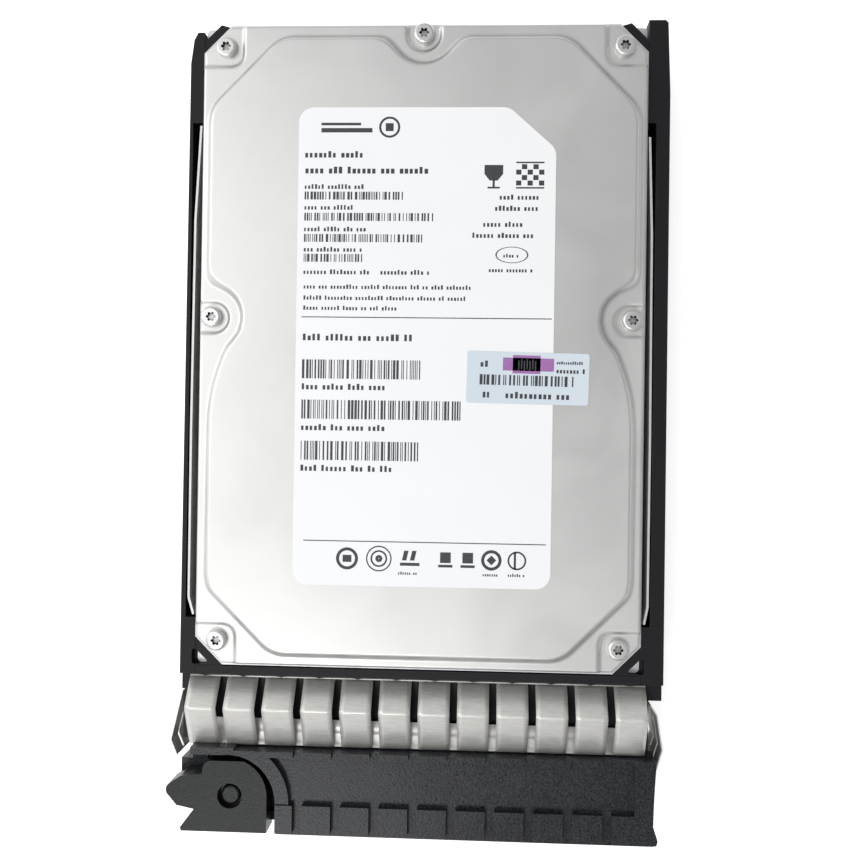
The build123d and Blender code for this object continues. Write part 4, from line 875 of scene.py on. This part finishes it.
make_top_fingers()

# ------------------------------------------------------------------------------------------
# Stage, light and camera
# ------------------------------------------------------------------------------------------
CAMERA_AT = (14.39 * MM, -2.02 * MM, 257.6 * MM)
CAMERA_TURN = (0.361, 2.79, 0.847)  # degrees about X, Y and Z
CAMERA_LENS = 42.67
FLOOR_HALF = 3.0
FLOOR_GAP = 0.0002  # below the rails, so that the two faces don't fight
FLOOR_GLOW = 0.55  # lifts the floor to the photograph's white
TENT_COLOR = (0.98, 0.99, 1.0, 1.0)
TENT_AXIS = (1.0, 0.12, 0.0)  # the tent's light falls off to the right, and a little to the rear
TENT_FADE = {"From Min": -0.55, "From Max": 0.4, "To Min": 1.1, "To Max": 0.57}


def make_stage():
    g = Graph("pale_floor", (0.9, 0.9, 0.9), 0.75)
    fleck = g.noise(0.004, detail=3.0)
    g.color(g.mix(g.spread(fleck), (0.89, 0.89, 0.89), (0.92, 0.92, 0.915)))
    g.shader.inputs["Emission Color"].default_value = (1.0, 1.0, 1.0, 1.0)
    g.shader.inputs["Emission Strength"].default_value = FLOOR_GLOW
    far, level = FLOOR_HALF, CAD_LOW.z - FLOOR_GAP
    corners = [(-far, -far, level), (far, -far, level), (far, far, level), (-far, far, level)]
    floor = mesh_object("floor", corners, [(0, 1, 2, 3)], smooth=False)
    floor.data.materials.append(g.material)
    bpy.context.scene.collection.objects.link(floor)


def add_area(name, place, target, size, power):
    """A rectangular lamp at a place, facing a target."""
    lamp = bpy.data.lights.new(name, "AREA")
    lamp.shape = "RECTANGLE"
    lamp.size, lamp.size_y = size
    lamp.energy = power
    obj = bpy.data.objects.new(name, lamp)
    obj.location = place
    obj.rotation_euler = (Vector(target) - Vector(place)).to_track_quat("-Z", "Y").to_euler()
    bpy.context.scene.collection.objects.link(obj)


def make_light():
    """A white tent, brighter on the left, with one large lamp on the left and a small one in front."""
    world = bpy.data.worlds.new("studio")
    world.use_nodes = True
    nodes, links = world.node_tree.nodes, world.node_tree.links
    sky = nodes["Background"]
    sky.inputs["Color"].default_value = TENT_COLOR
    lean = nodes.new("ShaderNodeVectorMath")
    lean.operation = "DOT_PRODUCT"
    lean.inputs[1].default_value = TENT_AXIS
    links.new(nodes.new("ShaderNodeTexCoord").outputs["Generated"], lean.inputs[0])
    fade = nodes.new("ShaderNodeMapRange")
    fade.interpolation_type = "SMOOTHSTEP"
    for socket, value in TENT_FADE.items():
        fade.inputs[socket].default_value = value
    links.new(lean.outputs["Value"], fade.inputs["Value"])
    links.new(fade.outputs["Result"], sky.inputs["Strength"])
    bpy.context.scene.world = world
    add_area("key_left", place=(-0.50, 0.15, 0.5), target=(0, 0, 0), size=(0.4, 0.8), power=1.6)
    add_area("front_low", place=(-0.19, -0.4, 0.72), target=(-0.02, -0.08, 0), size=(0.2, 0.2), power=1.3)


def make_camera():
    """The photograph's view, as fitted to the drive's corners in it."""
    camera = bpy.data.cameras.new("camera")
    camera.lens = CAMERA_LENS
    camera.sensor_width = 36.0
    camera.clip_start = 0.005
    obj = bpy.data.objects.new("camera", camera)
    turn_x, turn_y, turn_z = (
        Matrix.Rotation(math.radians(angle), 4, axis) for angle, axis in zip(CAMERA_TURN, "XYZ")
    )
    obj.matrix_world = Matrix.Translation(CAMERA_AT) @ turn_z @ turn_y @ turn_x
    bpy.context.scene.collection.objects.link(obj)
    bpy.context.scene.camera = obj


make_stage()
make_light()
make_camera()
bpy.context.scene.view_settings.view_transform = "Standard"
